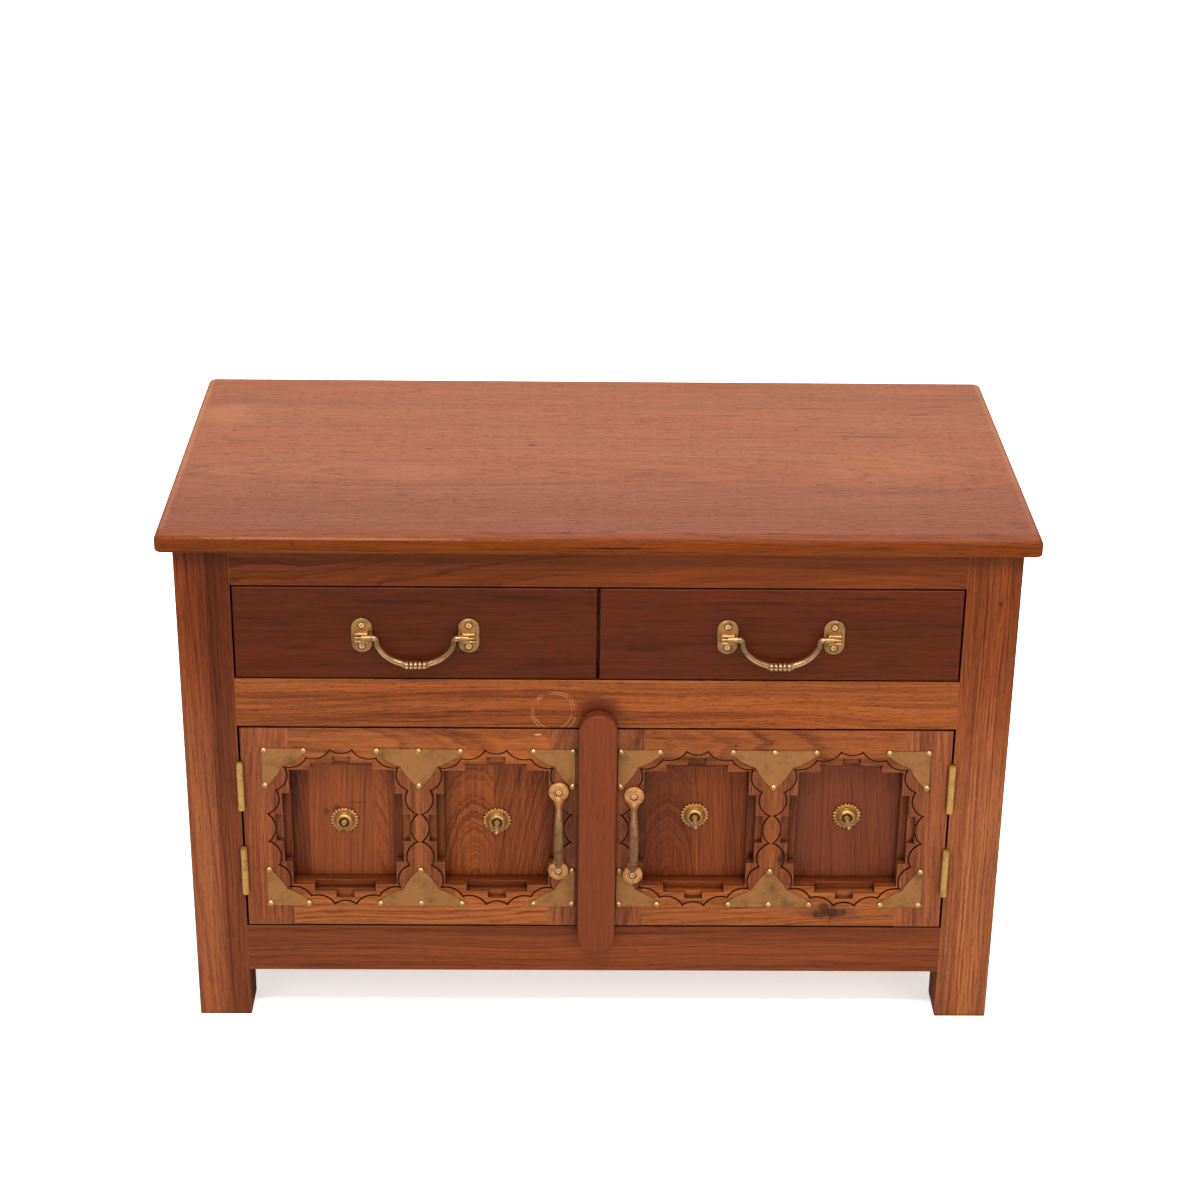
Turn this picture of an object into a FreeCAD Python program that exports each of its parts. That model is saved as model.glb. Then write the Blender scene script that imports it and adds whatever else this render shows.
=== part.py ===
import FreeCAD, Part
import math
import os
import re
import Sketcher

# Carved two-door cabinet with two drawers, in millimetres.
# +Z is up and the front faces -Y. The origin is the bottom centre of the
# space that the cabinet fills, from its door handles to the back of its top.

doc = FreeCAD.newDocument("carved_cabinet")

# Driving dimensions
SIZES = (
    # Case frame
    ("case_width", 800),
    ("case_depth", 400),
    ("post_width", 52),
    ("post_depth", 45),
    ("post_edge_radius", 1.6),
    ("rail_thickness", 24),
    ("rail_edge_radius", 0.8),
    ("foot_height", 53),
    ("bottom_rail_height", 52),
    ("door_opening_height", 225),
    ("middle_rail_height", 51.5),
    ("drawer_opening_height", 98),
    ("top_rail_height", 39.5),
    ("upper_rail_height", 60),
    ("tenon_length", 20),
    ("tenon_thickness", 9),
    ("mortise_wall", 1.5),
    # Panels and boards of the case
    ("panel_groove", 7),
    ("side_panel_thickness", 9),
    ("side_panel_recess", 6),
    ("back_panel_thickness", 6),
    ("back_panel_recess", 6),
    ("floor_thickness", 12),
    ("dust_board_thickness", 9),
    ("partition_thickness", 16),
    ("cleat_size", 12),
    ("guide_height", 30),
    ("stop_width", 24),
    ("stop_depth", 12),
    ("stop_height", 6),
    ("door_stop_place", 40),
    ("door_stop_width", 40),
    ("door_stop_drop", 14),
    # Top
    ("top_thickness", 16),
    ("top_overhang", 15),
    ("top_back_overhang", 15),
    ("top_corner_radius", 8),
    ("top_edge_radius", 5),
    ("top_under_radius", 1.8),
    ("lipping_width", 20),
    ("block_length", 40),
    ("block_size", 20),
    ("block_place", 230),
    # Screws
    ("block_screw_radius", 2),
    ("block_screw_head_radius", 4),
    ("block_screw_reach", 10),
    ("hinge_screw_radius", 1.2),
    ("hinge_screw_head_radius", 1.8),
    ("hinge_screw_reach", 10),
    ("plate_screw_radius", 1.3),
    ("plate_screw_head_radius", 2.9),
    ("plate_screw_reach", 9),
    ("screw_head_height", 1.6),
    ("handle_screw_sink", 0.5),
    ("screw_slot_width", 0.7),
    ("screw_slot_depth", 0.5),
    # Hinges
    ("hinge_height", 50.8),
    ("hinge_spacing", 95),
    ("hinge_leaf_thickness", 0.8),
    ("hinge_leaf_width", 18),
    ("hinge_barrel_radius", 3.25),
    ("hinge_barrel_clearance", 0.25),
    ("hinge_pin_radius", 1.4),
    ("hinge_pin_clearance", 0.05),
    ("knuckle_gap", 0.3),
    ("hinge_screw_margin", 8),
    ("hinge_cap_radius", 2.8),
    ("hinge_cap_height", 0.9),
    # Doors
    ("door_side_gap", 2),
    ("door_meeting_gap", 1.2),
    ("door_end_gap", 1.8),
    ("door_thickness", 24),
    ("stile_width", 46),
    ("door_rail_height", 46),
    ("muntin_width", 48),
    ("meeting_bevel", 1.6),
    ("door_tenon_length", 14),
    ("door_tenon_thickness", 7),
    ("door_panel_thickness", 5),
    ("door_panel_lap", 8),
    # Carving round each door opening
    ("scallop_rise", 23.6),
    ("scallop_margin", 0.4),
    ("groove_width", 1.6),
    ("groove_depth", 2.2),
    ("field_depth", 0.6),
    ("deep_step_depth", 10),
    ("deep_step_reach", 7.6),
    ("deep_step_half_width", 30.2),
    ("deep_step_half_height", 38.6),
    ("shallow_step_depth", 5),
    ("shallow_step_reach", 14.8),
    ("shallow_step_half_width", 9),
    ("shallow_step_half_height", 15.2),
    # Meeting bar on the right door
    ("bar_width", 37),
    ("bar_thickness", 13.5),
    ("bar_offset", 1),
    ("bar_over_top", 19.5),
    ("bar_over_bottom", 23),
    ("bar_edge_radius", 1.8),
    ("bar_relief", 0.5),
    # Brass plates and tacks
    ("plate_thickness", 0.8),
    ("plate_leg", 43),
    ("plate_drop", 41),
    ("plate_end_width", 3.6),
    ("plate_throat", 0.9),
    ("plate_sag", 1.3),
    ("plate_edge_inset", 2),
    ("tack_radius", 3.3),
    ("tack_height", 2.3),
    ("tack_inset", 2.2),
    ("tack_spacing", 38.4),
    ("tack_nail_radius", 0.8),
    ("tack_nail_length", 8),
    # Spiked bosses
    ("boss_flange_radius", 12.4),
    ("boss_flange_thickness", 1.8),
    ("boss_bead_radius", 1.35),
    ("boss_bead_count", 22),
    ("boss_dome_radius", 9.6),
    ("boss_dome_height", 6.4),
    ("boss_collar_radius", 4),
    ("boss_collar_height", 1.2),
    ("spike_root_radius", 2.1),
    ("spike_tip_radius", 1.1),
    ("spike_length", 23),
    ("spike_stub_length", 5),
    ("boss_shift_left", -1),
    ("boss_shift_right", 6),
    # Door handles
    ("handle_reach", 30),
    ("handle_spacing", 88.9),
    ("handle_place", 36.8),
    ("handle_foot_radius", 10),
    ("handle_foot_thickness", 3.6),
    ("handle_grip_radius", 4.6),
    ("handle_neck_radius", 3.1),
    ("handle_bend_radius", 10),
    ("handle_neck_inset", 8),
    ("handle_foot_clearance", 0.3),
    ("handle_shoulder_radius", 4.3),
    ("handle_shoulder_stand", 5.2),
    ("handle_shift_left", -2),
    ("handle_shift_right", -6.4),
    # Drawers
    ("drawer_side_gap", 1.5),
    ("drawer_meeting_gap", 2.6),
    ("drawer_top_gap", 1.5),
    ("drawer_bottom_gap", 1),
    ("drawer_front_thickness", 18),
    ("drawer_edge_radius", 1.6),
    ("drawer_board_thickness", 10),
    ("drawer_side_height", 84),
    ("drawer_length", 350),
    ("drawer_running_gap", 0.3),
    ("drawer_lap", 8),
    ("drawer_bottom_thickness", 5),
    ("drawer_bottom_rise", 10),
    ("drawer_bottom_groove", 5),
    # Drawer bails
    ("bail_spacing", 101.6),
    ("bail_centre_height", 47.5),
    ("bail_plate_width", 20),
    ("bail_plate_height", 35.5),
    ("bail_plate_thickness", 2.6),
    ("bail_plate_edge_radius", 1.1),
    ("bail_screw_spacing", 21.6),
    ("bail_boss_width", 12),
    ("bail_boss_height", 11),
    ("bail_reed_radius", 1.7),
    ("bail_ear_radius", 2.9),
    ("bail_ear_length", 9.6),
    ("bail_pivot_stand", 8),
    ("bail_pin_radius", 1.6),
    ("bail_pin_clearance", 0.06),
    ("bail_pin_length", 4.5),
    ("bail_half_span", 37.6),
    ("bail_drop", 28.5),
    ("bail_wire_radius", 2.2),
    ("bail_shoulder_radius", 2.9),
    ("bail_grip_radius", 3.5),
    ("bail_grip_length", 21),
    ("bail_bead_radius", 4.1),
    ("bail_bead_count", 5),
    # How far a cutting shape runs past the face it cuts
    ("overrun", 1),
    # How near an edge lies to a limit to count as lying on it
    ("edge_match", 0.01),
)

sheet = doc.addObject("Spreadsheet::Sheet", "Sizes")
for row, (alias, value) in enumerate(SIZES, start=1):
    sheet.set(f"A{row}", alias)
    sheet.set(f"B{row}", str(value))
    sheet.setAlias(f"B{row}", alias)

# Places worked out from the driving dimensions
PLACES = (
    ("inner_half", "case_width / 2 - post_width"),
    ("front", "(handle_reach - case_depth - top_back_overhang) / 2"),
    ("back", "front + case_depth"),
    ("side_length", "case_depth - 2 * post_depth"),
    ("tenon_shoulder", "panel_groove + mortise_wall"),
    ("door_base", "foot_height + bottom_rail_height"),
    ("door_head", "door_base + door_opening_height"),
    ("drawer_base", "door_head + middle_rail_height"),
    ("drawer_head", "drawer_base + drawer_opening_height"),
    ("case_height", "drawer_head + top_rail_height"),
    ("panel_inner_half", "case_width / 2 - side_panel_recess - side_panel_thickness"),
    ("rail_inner_half", "case_width / 2 - rail_thickness"),
    ("door_width", "inner_half - door_side_gap - door_meeting_gap / 2"),
    ("door_height", "door_opening_height - 2 * door_end_gap"),
    ("door_bottom", "door_base + door_end_gap"),
    ("door_middle", "door_base + door_opening_height / 2"),
    ("door_edge", "inner_half - door_side_gap"),
    ("opening_width", "(door_width - 2 * stile_width - muntin_width) / 2"),
    ("opening_height", "door_height - 2 * door_rail_height"),
    ("outer_opening", "door_edge - stile_width - opening_width / 2"),
    ("inner_opening", "door_meeting_gap / 2 + stile_width + opening_width / 2"),
    ("muntin_middle", "(outer_opening + inner_opening) / 2"),
    ("panel_face", "front + door_thickness - door_panel_thickness"),
    ("scallop_half_width", "(opening_width + muntin_width) / 2 - scallop_margin"),
    ("scallop_half_height", "opening_height / 2 + scallop_rise"),
    ("hinge_middle", "inner_half - door_side_gap / 2"),
    ("hinge_axis", "front - hinge_barrel_radius - hinge_barrel_clearance"),
    ("knuckle_height", "(hinge_height - 2 * knuckle_gap) / 3"),
    ("drawer_front_width", "inner_half - drawer_side_gap - drawer_meeting_gap / 2"),
    ("drawer_front_height", "drawer_opening_height - drawer_top_gap - drawer_bottom_gap"),
    ("drawer_box_outer", "inner_half - drawer_side_gap"),
    ("drawer_box_inner", "partition_thickness / 2 + drawer_side_gap"),
    ("drawer_box_base", "drawer_base + drawer_running_gap"),
    ("drawer_middle", "(drawer_meeting_gap / 2 + drawer_box_outer) / 2"),
    ("bail_height", "drawer_base + bail_centre_height"),
)

SIZE_NAMES = {alias for alias, value in SIZES}
PLACE_NAMES = {name for name, formula in PLACES}


def linked(formula, own_places=False):
    """Writes a formula of plain size names as an expression on the document."""
    def link(match):
        word = match.group(0)
        if word in SIZE_NAMES:
            return "Sizes." + word
        if word in PLACE_NAMES:
            return word if own_places else "Places." + word
        raise ValueError("unknown size " + word)
    return re.sub(r"[a-z][a-z_]*", link, formula)


places = doc.addObject("App::VarSet", "Places")
for name, formula in PLACES:
    places.addProperty("App::PropertyFloat", name)
for name, formula in PLACES:
    places.setExpression(name, linked(formula, own_places=True))
doc.recompute()


def size(name):
    """The value of a driving dimension or of a worked-out place."""
    if name in SIZE_NAMES:
        return float(sheet.get(name))
    return float(getattr(places, name))


Z_AXIS = FreeCAD.Vector(0, 0, 1)
X_AXIS = FreeCAD.Vector(1, 0, 0)
Y_AXIS = FreeCAD.Vector(0, 1, 0)
LEFT, RIGHT = -1, 1
NODES = []


def bind(thing, prop, formula):
    thing.setExpression(prop, linked(formula))


def place(thing, x, y, z):
    bind(thing, "Placement.Base.x", x)
    bind(thing, "Placement.Base.y", y)
    bind(thing, "Placement.Base.z", z)


def keep(thing, label):
    """Marks an object as a sub-part that is written to its own file."""
    thing.Label = label
    NODES.append(thing)
    return thing


def block(name, x, y, z, length, depth, height):
    box = doc.addObject("Part::Box", name)
    bind(box, "Length", length)
    bind(box, "Width", depth)
    bind(box, "Height", height)
    place(box, x, y, z)
    return box


def rod(name, x, y, z, radius, length, direction):
    """A cylinder that starts at a point and runs along a direction."""
    cylinder = doc.addObject("Part::Cylinder", name)
    bind(cylinder, "Radius", radius)
    bind(cylinder, "Height", length)
    cylinder.Placement.Rotation = FreeCAD.Rotation(Z_AXIS, direction)
    place(cylinder, x, y, z)
    return cylinder


def taper(name, x, y, z, first_radius, last_radius, length, direction):
    cone = doc.addObject("Part::Cone", name)
    bind(cone, "Radius1", first_radius)
    bind(cone, "Radius2", last_radius)
    bind(cone, "Height", length)
    cone.Placement.Rotation = FreeCAD.Rotation(Z_AXIS, direction)
    place(cone, x, y, z)
    return cone


def merge(name, *things):
    joined = doc.addObject("Part::MultiFuse", name)
    joined.Shapes = list(things)
    return joined


def gather(name, *things):
    """Separate solids that make one sub-part."""
    group = doc.addObject("Part::Compound", name)
    group.Links = list(things)
    return group


def cut(name, base, *tools):
    for number, tool in enumerate(tools, start=1):
        last = number == len(tools)
        result = doc.addObject("Part::Cut", name if last else f"{name}_cut_{number}")
        result.Base = base
        result.Tool = tool
        base = result
    return base


def shared(name, first, second):
    result = doc.addObject("Part::Common", name)
    result.Base = first
    result.Tool = second
    return result


def formed(name, shape):
    """A form that only Part's own functions make, from sizes read off the sheet."""
    feature = doc.addObject("Part::Feature", name)
    feature.Shape = shape
    return feature


def signed(side, formula):
    """A place across the width: to the left it is counted the other way."""
    return formula if side == RIGHT else f"-({formula})"


def span(side, near, far):
    """The low x of a stretch from near to far, counted outwards from the middle."""
    return near if side == RIGHT else f"-({far})"


# Sketched blocks with rounded edges

def origin_plane(body, role):
    return next(item for item in body.Origin.OriginFeatures if item.Role == role)


def rectangle_sketch(body, name, length, depth):
    sketch = body.newObject("Sketcher::SketchObject", name)
    sketch.AttachmentSupport = [(origin_plane(body, "XY_Plane"), "")]
    sketch.MapMode = "FlatFace"
    corners = [FreeCAD.Vector(*point) for point in ((0, 0, 0), (1, 0, 0), (1, 1, 0), (0, 1, 0))]
    for index in range(4):
        sketch.addGeometry(Part.LineSegment(corners[index], corners[(index + 1) % 4]), False)
    for index in range(4):
        sketch.addConstraint(Sketcher.Constraint("Coincident", index, 2, (index + 1) % 4, 1))
    for index, kind in enumerate(("Horizontal", "Vertical", "Horizontal", "Vertical")):
        sketch.addConstraint(Sketcher.Constraint(kind, index))
    sketch.addConstraint(Sketcher.Constraint("Coincident", 0, 1, -1, 1))
    across = sketch.addConstraint(Sketcher.Constraint("DistanceX", 0, 1, 0, 2, size("overrun")))
    up = sketch.addConstraint(Sketcher.Constraint("DistanceY", 1, 1, 1, 2, size("overrun")))
    sketch.setExpression(f"Constraints[{across}]", linked(length))
    sketch.setExpression(f"Constraints[{up}]", linked(depth))
    return sketch


def slot_sketch(body, name, width, height):
    """An upright slot round the origin: two straight sides and two half-round ends."""
    sketch = body.newObject("Sketcher::SketchObject", name)
    sketch.AttachmentSupport = [(origin_plane(body, "XZ_Plane"), "")]
    sketch.MapMode = "FlatFace"
    top, low = FreeCAD.Vector(0, 1, 0), FreeCAD.Vector(0, -1, 0)
    right, left = FreeCAD.Vector(1, 0, 0), FreeCAD.Vector(-1, 0, 0)
    sketch.addGeometry(Part.LineSegment(right + low, right + top), False)
    sketch.addGeometry(Part.ArcOfCircle(Part.Circle(top, Z_AXIS, 1), 0, math.pi), False)
    sketch.addGeometry(Part.LineSegment(left + top, left + low), False)
    sketch.addGeometry(Part.ArcOfCircle(Part.Circle(low, Z_AXIS, 1), math.pi, 2 * math.pi), False)
    for index in range(4):
        sketch.addConstraint(Sketcher.Constraint("Tangent", index, 2, (index + 1) % 4, 1))
    sketch.addConstraint(Sketcher.Constraint("Vertical", 0))
    sketch.addConstraint(Sketcher.Constraint("Symmetric", 1, 3, 3, 3, -1, 1))
    sketch.addConstraint(Sketcher.Constraint("PointOnObject", 1, 3, -2))
    apart = sketch.addConstraint(Sketcher.Constraint("DistanceY", 3, 3, 1, 3, 2))
    bend = sketch.addConstraint(Sketcher.Constraint("Radius", 1, 1))
    sketch.setExpression(f"Constraints[{apart}]", linked(f"{height} - {width}"))
    sketch.setExpression(f"Constraints[{bend}]", linked(f"{width} / 2"))
    return sketch


def padded(body, sketch, length):
    pad = body.newObject("PartDesign::Pad", body.Name + "_pad")
    pad.Profile = sketch
    bind(pad, "Length", length)
    doc.recompute()
    return pad


def rounded(body, feature, test, radius):
    """Rounds the edges of a body's last feature that a test picks."""
    names = [f"Edge{number}" for number, edge in enumerate(feature.Shape.Edges, start=1)
             if test(edge, feature.Shape.BoundBox)]
    fillet = body.newObject("PartDesign::Fillet", f"{feature.Name}_round")
    fillet.Base = (feature, names)
    bind(fillet, "Radius", radius)
    body.Tip = fillet
    doc.recompute()
    return fillet


def runs_along(edge, axis):
    way = edge.Vertexes[-1].Point - edge.Vertexes[0].Point
    return way.Length > size("edge_match") > way.cross(axis).Length


def same(first, second):
    return math.isclose(first, second, abs_tol=size("edge_match"))


def timber(name, x, y, z, length, depth, height, test, radius):
    """A squared piece of wood with the arrises that a test picks taken off."""
    body = doc.addObject("PartDesign::Body", name)
    pad = padded(body, rectangle_sketch(body, name + "_section", length, depth), height)
    rounded(body, pad, test, radius)
    place(body, x, y, z)
    return body


# Wood screws, with a sunk head and a crossed recess

def turned(profile):
    """A solid turned round +Y from steps of (radius, depth); a pair of them is an arc."""
    last = FreeCAD.Vector(*profile[0], 0)
    edges = []
    for step in profile[1:] + profile[:1]:
        arc = isinstance(step[0], tuple)
        points = [FreeCAD.Vector(*point, 0) for point in (step if arc else (step,))]
        curve = Part.Arc(last, *points) if arc else Part.LineSegment(last, *points)
        edges.append(curve.toShape())
        last = points[-1]
    return Part.Face(Part.Wire(edges)).revolve(FreeCAD.Vector(0, 0, 0), Y_AXIS, 360)


def screw(kind, reach, sink=0.0, seat=False):
    """A screw that goes along +Y from its head; as a seat it is the hole that it fills."""
    head, shank = size(kind + "_head_radius"), size(kind + "_radius")
    deep = size("screw_head_height")
    profile = [(0, sink), (head, sink), (shank, sink + deep), (shank, reach), (0, reach)]
    if seat and sink:
        profile = [(0, 0), (head, 0)] + profile[1:]
    solid = turned(profile)
    if seat:
        return solid
    width, recess = size("screw_slot_width"), size("screw_slot_depth")
    for length, height in ((shank * 2, width), (width, shank * 2)):
        corner = FreeCAD.Vector(-length / 2, sink, -height / 2)
        solid = solid.cut(Part.makeBox(length, recess, height, corner))
    return solid


def set_at(shape, position, direction=None):
    copy = shape.copy()
    turn = FreeCAD.Rotation(Y_AXIS, direction) if direction else FreeCAD.Rotation()
    copy.Placement = FreeCAD.Placement(FreeCAD.Vector(*position), turn)
    return copy


def screw_set(name, *groups):
    """The screws of one sub-part, and the holes that they fill."""
    solids, seats = [], []
    for kind, reach, sink, spots in groups:
        solid, seat = screw(kind, reach, sink), screw(kind, reach, sink, seat=True)
        solids += [set_at(solid, position, direction) for position, direction in spots]
        seats += [set_at(seat, position, direction) for position, direction in spots]
    screws = formed(name, Part.makeCompound(solids))
    return screws, formed(name + "_seats", Part.makeCompound(seats))


# Hinges: where their screws go

def hinge_heights():
    middle, apart = size("door_middle"), size("hinge_spacing")
    return [middle + apart / 2, middle - apart / 2]


def hinge_screw_spots(side, on_door):
    leaf, gap = size("hinge_leaf_thickness"), size("door_side_gap")
    outer = size("inner_half")
    across = outer - gap + leaf if on_door else outer - leaf
    way = -side if on_door else side
    depth = size("front") + size("hinge_leaf_width") / 2
    reach = size("hinge_height") / 2 - size("hinge_screw_margin")
    return [((side * across, depth, middle + offset), FreeCAD.Vector(way, 0, 0))
            for middle in hinge_heights() for offset in (-reach, 0, reach)]


# Screws of the case: hinge leaves to posts, and fixing blocks to the rails and the top

BLOCK_PLACES = (("left_front", LEFT, "front + rail_thickness", 1),
                ("right_front", RIGHT, "front + rail_thickness", 1),
                ("left_back", LEFT, "back - rail_thickness - block_size", -1),
                ("right_back", RIGHT, "back - rail_thickness - block_size", -1))


def block_screw_spots():
    upright, level = [], []
    across, quarter = size("block_place"), size("block_length") / 4
    low = size("case_height") - size("block_size")
    middle = size("block_size") / 2
    for side in (LEFT, RIGHT):
        for wall, way in ((size("front") + size("rail_thickness"), -1),
                          (size("back") - size("rail_thickness"), 1)):
            into = FreeCAD.Vector(0, way, 0)
            upright.append(((side * across - quarter, wall - way * middle, low), Z_AXIS))
            level.append(((side * across + quarter, wall - way * size("block_size"), low + middle), into))
    return upright + level


block_reach = size("block_size") + size("block_screw_reach")
case_screws, case_screw_seats = screw_set(
    "case_screws",
    ("hinge_screw", size("hinge_screw_reach"), 0.0,
     hinge_screw_spots(LEFT, False) + hinge_screw_spots(RIGHT, False)),
    ("block_screw", block_reach, 0.0, block_screw_spots()))
keep(case_screws, "case_screws")


# Top: a board with a lipping glued along its front, rounded off together

def upright_edge(edge, box):
    return runs_along(edge, Z_AXIS)


def upper_edge(edge, box):
    return all(same(vertex.Point.z, box.ZMax) for vertex in edge.Vertexes)


def lower_edge(edge, box):
    return all(same(vertex.Point.z, box.ZMin) for vertex in edge.Vertexes)


top_blank = doc.addObject("PartDesign::Body", "top_blank")
top_width = "case_width + 2 * top_overhang"
top_depth = "case_depth + top_overhang + top_back_overhang"
top_pad = padded(top_blank, rectangle_sketch(top_blank, "top_outline", top_width, top_depth),
                 "top_thickness")
top_corners = rounded(top_blank, top_pad, upright_edge, "top_corner_radius")
top_upper = rounded(top_blank, top_corners, upper_edge, "top_edge_radius")
rounded(top_blank, top_upper, lower_edge, "top_under_radius")
place(top_blank, "-case_width / 2 - top_overhang", "front - top_overhang", "case_height")

lipping_room = block("lipping_room", "-case_width", "front - top_overhang - overrun",
                     "case_height - overrun", "2 * case_width", "lipping_width + overrun",
                     "top_thickness + 2 * overrun")
board_room = cut("top_board_uncut", top_blank, lipping_room)
keep(cut("top_board", board_room, case_screw_seats), "top_board")
keep(shared("top_front_lipping", top_blank, lipping_room), "top_front_lipping")


# Rails, each with a tenon at both ends

def front_arris(edge, box):
    return runs_along(edge, X_AXIS) and all(same(v.Point.y, box.YMin) for v in edge.Vertexes)


def back_arris(edge, box):
    return runs_along(edge, X_AXIS) and all(same(v.Point.y, box.YMax) for v in edge.Vertexes)


def cross_rail(name, y, z, height, arris):
    """A rail across the width; its tenon runs right through it and out at both ends."""
    bar = timber(name + "_bar", "-inner_half", y, z, "2 * inner_half", "rail_thickness",
                 height, arris, "rail_edge_radius")
    tenon = block(name + "_tenon", "-inner_half - tenon_length",
                  f"{y} + (rail_thickness - tenon_thickness) / 2", f"{z} + tenon_shoulder",
                  "2 * (inner_half + tenon_length)", "tenon_thickness",
                  f"{height} - 2 * tenon_shoulder")
    return merge(name, bar, tenon)


def side_rail(name, side, z, height):
    bar = block(name + "_bar", span(side, "rail_inner_half", "case_width / 2"),
                "front + post_depth", z, "rail_thickness", "side_length", height)
    middle = "(rail_thickness - tenon_thickness) / 2"
    tenon = block(name + "_tenon", span(side, f"rail_inner_half + {middle}", f"case_width / 2 - {middle}"),
                  "front + post_depth - tenon_length", f"{z} + tenon_shoulder", "tenon_thickness",
                  "side_length + 2 * tenon_length", f"{height} - 2 * tenon_shoulder")
    return merge(name, bar, tenon)


front_top_rail = cross_rail("front_top_rail_blank", "front", "drawer_head", "top_rail_height", front_arris)
front_middle_rail = cross_rail("front_middle_rail", "front", "door_head", "middle_rail_height", front_arris)
front_bottom_rail = cross_rail("front_bottom_rail", "front", "foot_height", "bottom_rail_height",
                               front_arris)
back_rail_place = "back - rail_thickness"
upper_rail_base = "case_height - upper_rail_height"
back_top_rail = cross_rail("back_top_rail", back_rail_place, upper_rail_base, "upper_rail_height", back_arris)
back_bottom_rail = cross_rail("back_bottom_rail", back_rail_place, "foot_height", "bottom_rail_height",
                              back_arris)
side_rails = [side_rail(f"side_{word}_rail_{hand}", side, z, height)
              for hand, side in (("left", LEFT), ("right", RIGHT))
              for word, z, height in (("top", upper_rail_base, "upper_rail_height"),
                                      ("bottom", "foot_height", "bottom_rail_height"))]

# Panels held in grooves of the posts and rails
panel_base = "door_base - panel_groove"
panel_height = "case_height - upper_rail_height - door_base + 2 * panel_groove"
side_panels = gather("side_panels", *[
    block(f"side_panel_{hand}", span(side, "panel_inner_half", "case_width / 2 - side_panel_recess"),
          "front + post_depth - panel_groove", panel_base, "side_panel_thickness",
          "side_length + 2 * panel_groove", panel_height)
    for hand, side in (("left", LEFT), ("right", RIGHT))])
back_panel = block("back_panel", "-inner_half - panel_groove",
                   "back - back_panel_recess - back_panel_thickness", panel_base,
                   "2 * (inner_half + panel_groove)", "back_panel_thickness", panel_height)
keep(side_panels, "side_panels")
keep(back_panel, "back_panel")

front_rail_set = gather("front_rail_set", front_top_rail, front_middle_rail, front_bottom_rail)
back_rail_set = gather("back_rail_set", back_top_rail, back_bottom_rail)
side_rail_set = gather("side_rail_set", *side_rails)
keep(cut("front_top_rail", front_top_rail, case_screw_seats), "front_top_rail")
keep(front_middle_rail, "front_middle_rail")
keep(front_bottom_rail, "front_bottom_rail")
keep(cut("back_rails", back_rail_set, back_panel, case_screw_seats), "back_rails")
keep(cut("side_rails", side_rail_set, side_panels), "side_rails")


# Posts, which run down to the floor as the feet

def outer_upright(side):
    def test(edge, box):
        limit = box.XMin if side == LEFT else box.XMax
        return runs_along(edge, Z_AXIS) and same(edge.Vertexes[0].Point.x, limit)
    return test


def post(name, side, y, *cutters):
    blank = timber(name + "_blank", span(side, "inner_half", "case_width / 2"), y, "0",
                   "post_width", "post_depth", "case_height", outer_upright(side), "post_edge_radius")
    return keep(cut(name, blank, *cutters), name), blank


post_blanks = []
for hand, side in (("left", LEFT), ("right", RIGHT)):
    finished, blank = post("post_front_" + hand, side, "front", front_rail_set, side_rail_set,
                           side_panels, case_screw_seats)
    post_blanks.append(blank)
    finished, blank = post("post_back_" + hand, side, "back - post_depth", back_rail_set,
                           side_rail_set, side_panels, back_panel)
    post_blanks.append(blank)

# Boards inside the case, notched round the posts
post_room = gather("post_room", *post_blanks)
floor_blank = block("floor_blank", "-rail_inner_half", "front + rail_thickness",
                    "door_base - floor_thickness", "2 * rail_inner_half",
                    "case_depth - 2 * rail_thickness", "floor_thickness")
dust_blank = block("dust_blank", "-panel_inner_half", "front + rail_thickness",
                   "drawer_base - dust_board_thickness", "2 * panel_inner_half",
                   "case_depth - rail_thickness - back_panel_recess - back_panel_thickness",
                   "dust_board_thickness")
keep(cut("floor_board", floor_blank, post_room), "floor_board")
keep(cut("dust_board", dust_blank, post_room), "dust_board")
keep(block("drawer_partition", "-partition_thickness / 2", "front + rail_thickness", "drawer_base",
           "partition_thickness", "case_depth - 2 * rail_thickness", "case_height - drawer_base"),
     "drawer_partition")

# Cleats under the boards, side guides for the drawers, and stops
strips = []
for hand, side in (("left", LEFT), ("right", RIGHT)):
    strips.append(block(f"floor_cleat_{hand}", span(side, "rail_inner_half - cleat_size", "rail_inner_half"),
                        "front + post_depth", "door_base - floor_thickness - cleat_size",
                        "cleat_size", "side_length", "cleat_size"))
    strips.append(block(f"dust_cleat_{hand}", span(side, "panel_inner_half - cleat_size", "panel_inner_half"),
                        "front + post_depth", "drawer_base - dust_board_thickness - cleat_size",
                        "cleat_size", "side_length", "cleat_size"))
    strips.append(block(f"drawer_guide_{hand}", span(side, "inner_half", "panel_inner_half"),
                        "front + post_depth", "drawer_base", "panel_inner_half - inner_half",
                        "side_length", "guide_height"))
    strips.append(block(f"door_stop_{hand}", span(side, "door_stop_place", "door_stop_place + door_stop_width"),
                        "front + door_thickness + drawer_running_gap", "door_head - door_stop_drop",
                        "door_stop_width", "stop_depth",
                        "door_stop_drop + middle_rail_height - dust_board_thickness"))
    for word, share in (("outer", "3 / 4"), ("inner", "1 / 4")):
        middle = f"drawer_meeting_gap / 2 + drawer_front_width * {share}"
        strips.append(block(f"drawer_stop_{hand}_{word}",
                            span(side, f"{middle} - stop_width / 2", f"{middle} + stop_width / 2"),
                            "front + drawer_front_thickness + drawer_running_gap", "drawer_base",
                            "stop_width", "stop_depth", "stop_height"))
keep(gather("cleats_guides_and_stops", *strips), "cleats_guides_and_stops")

blocks = [block("fixing_block_" + word, f"{side} * block_place - block_length / 2", y,
                "case_height - block_size", "block_length", "block_size", "block_size")
          for word, side, y, way in BLOCK_PLACES]
keep(cut("top_fixing_blocks", gather("fixing_blocks", *blocks), case_screw_seats), "top_fixing_blocks")


# Hinges: two plain leaves and a pin, each leaf screwed to the face that it lies on

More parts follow.
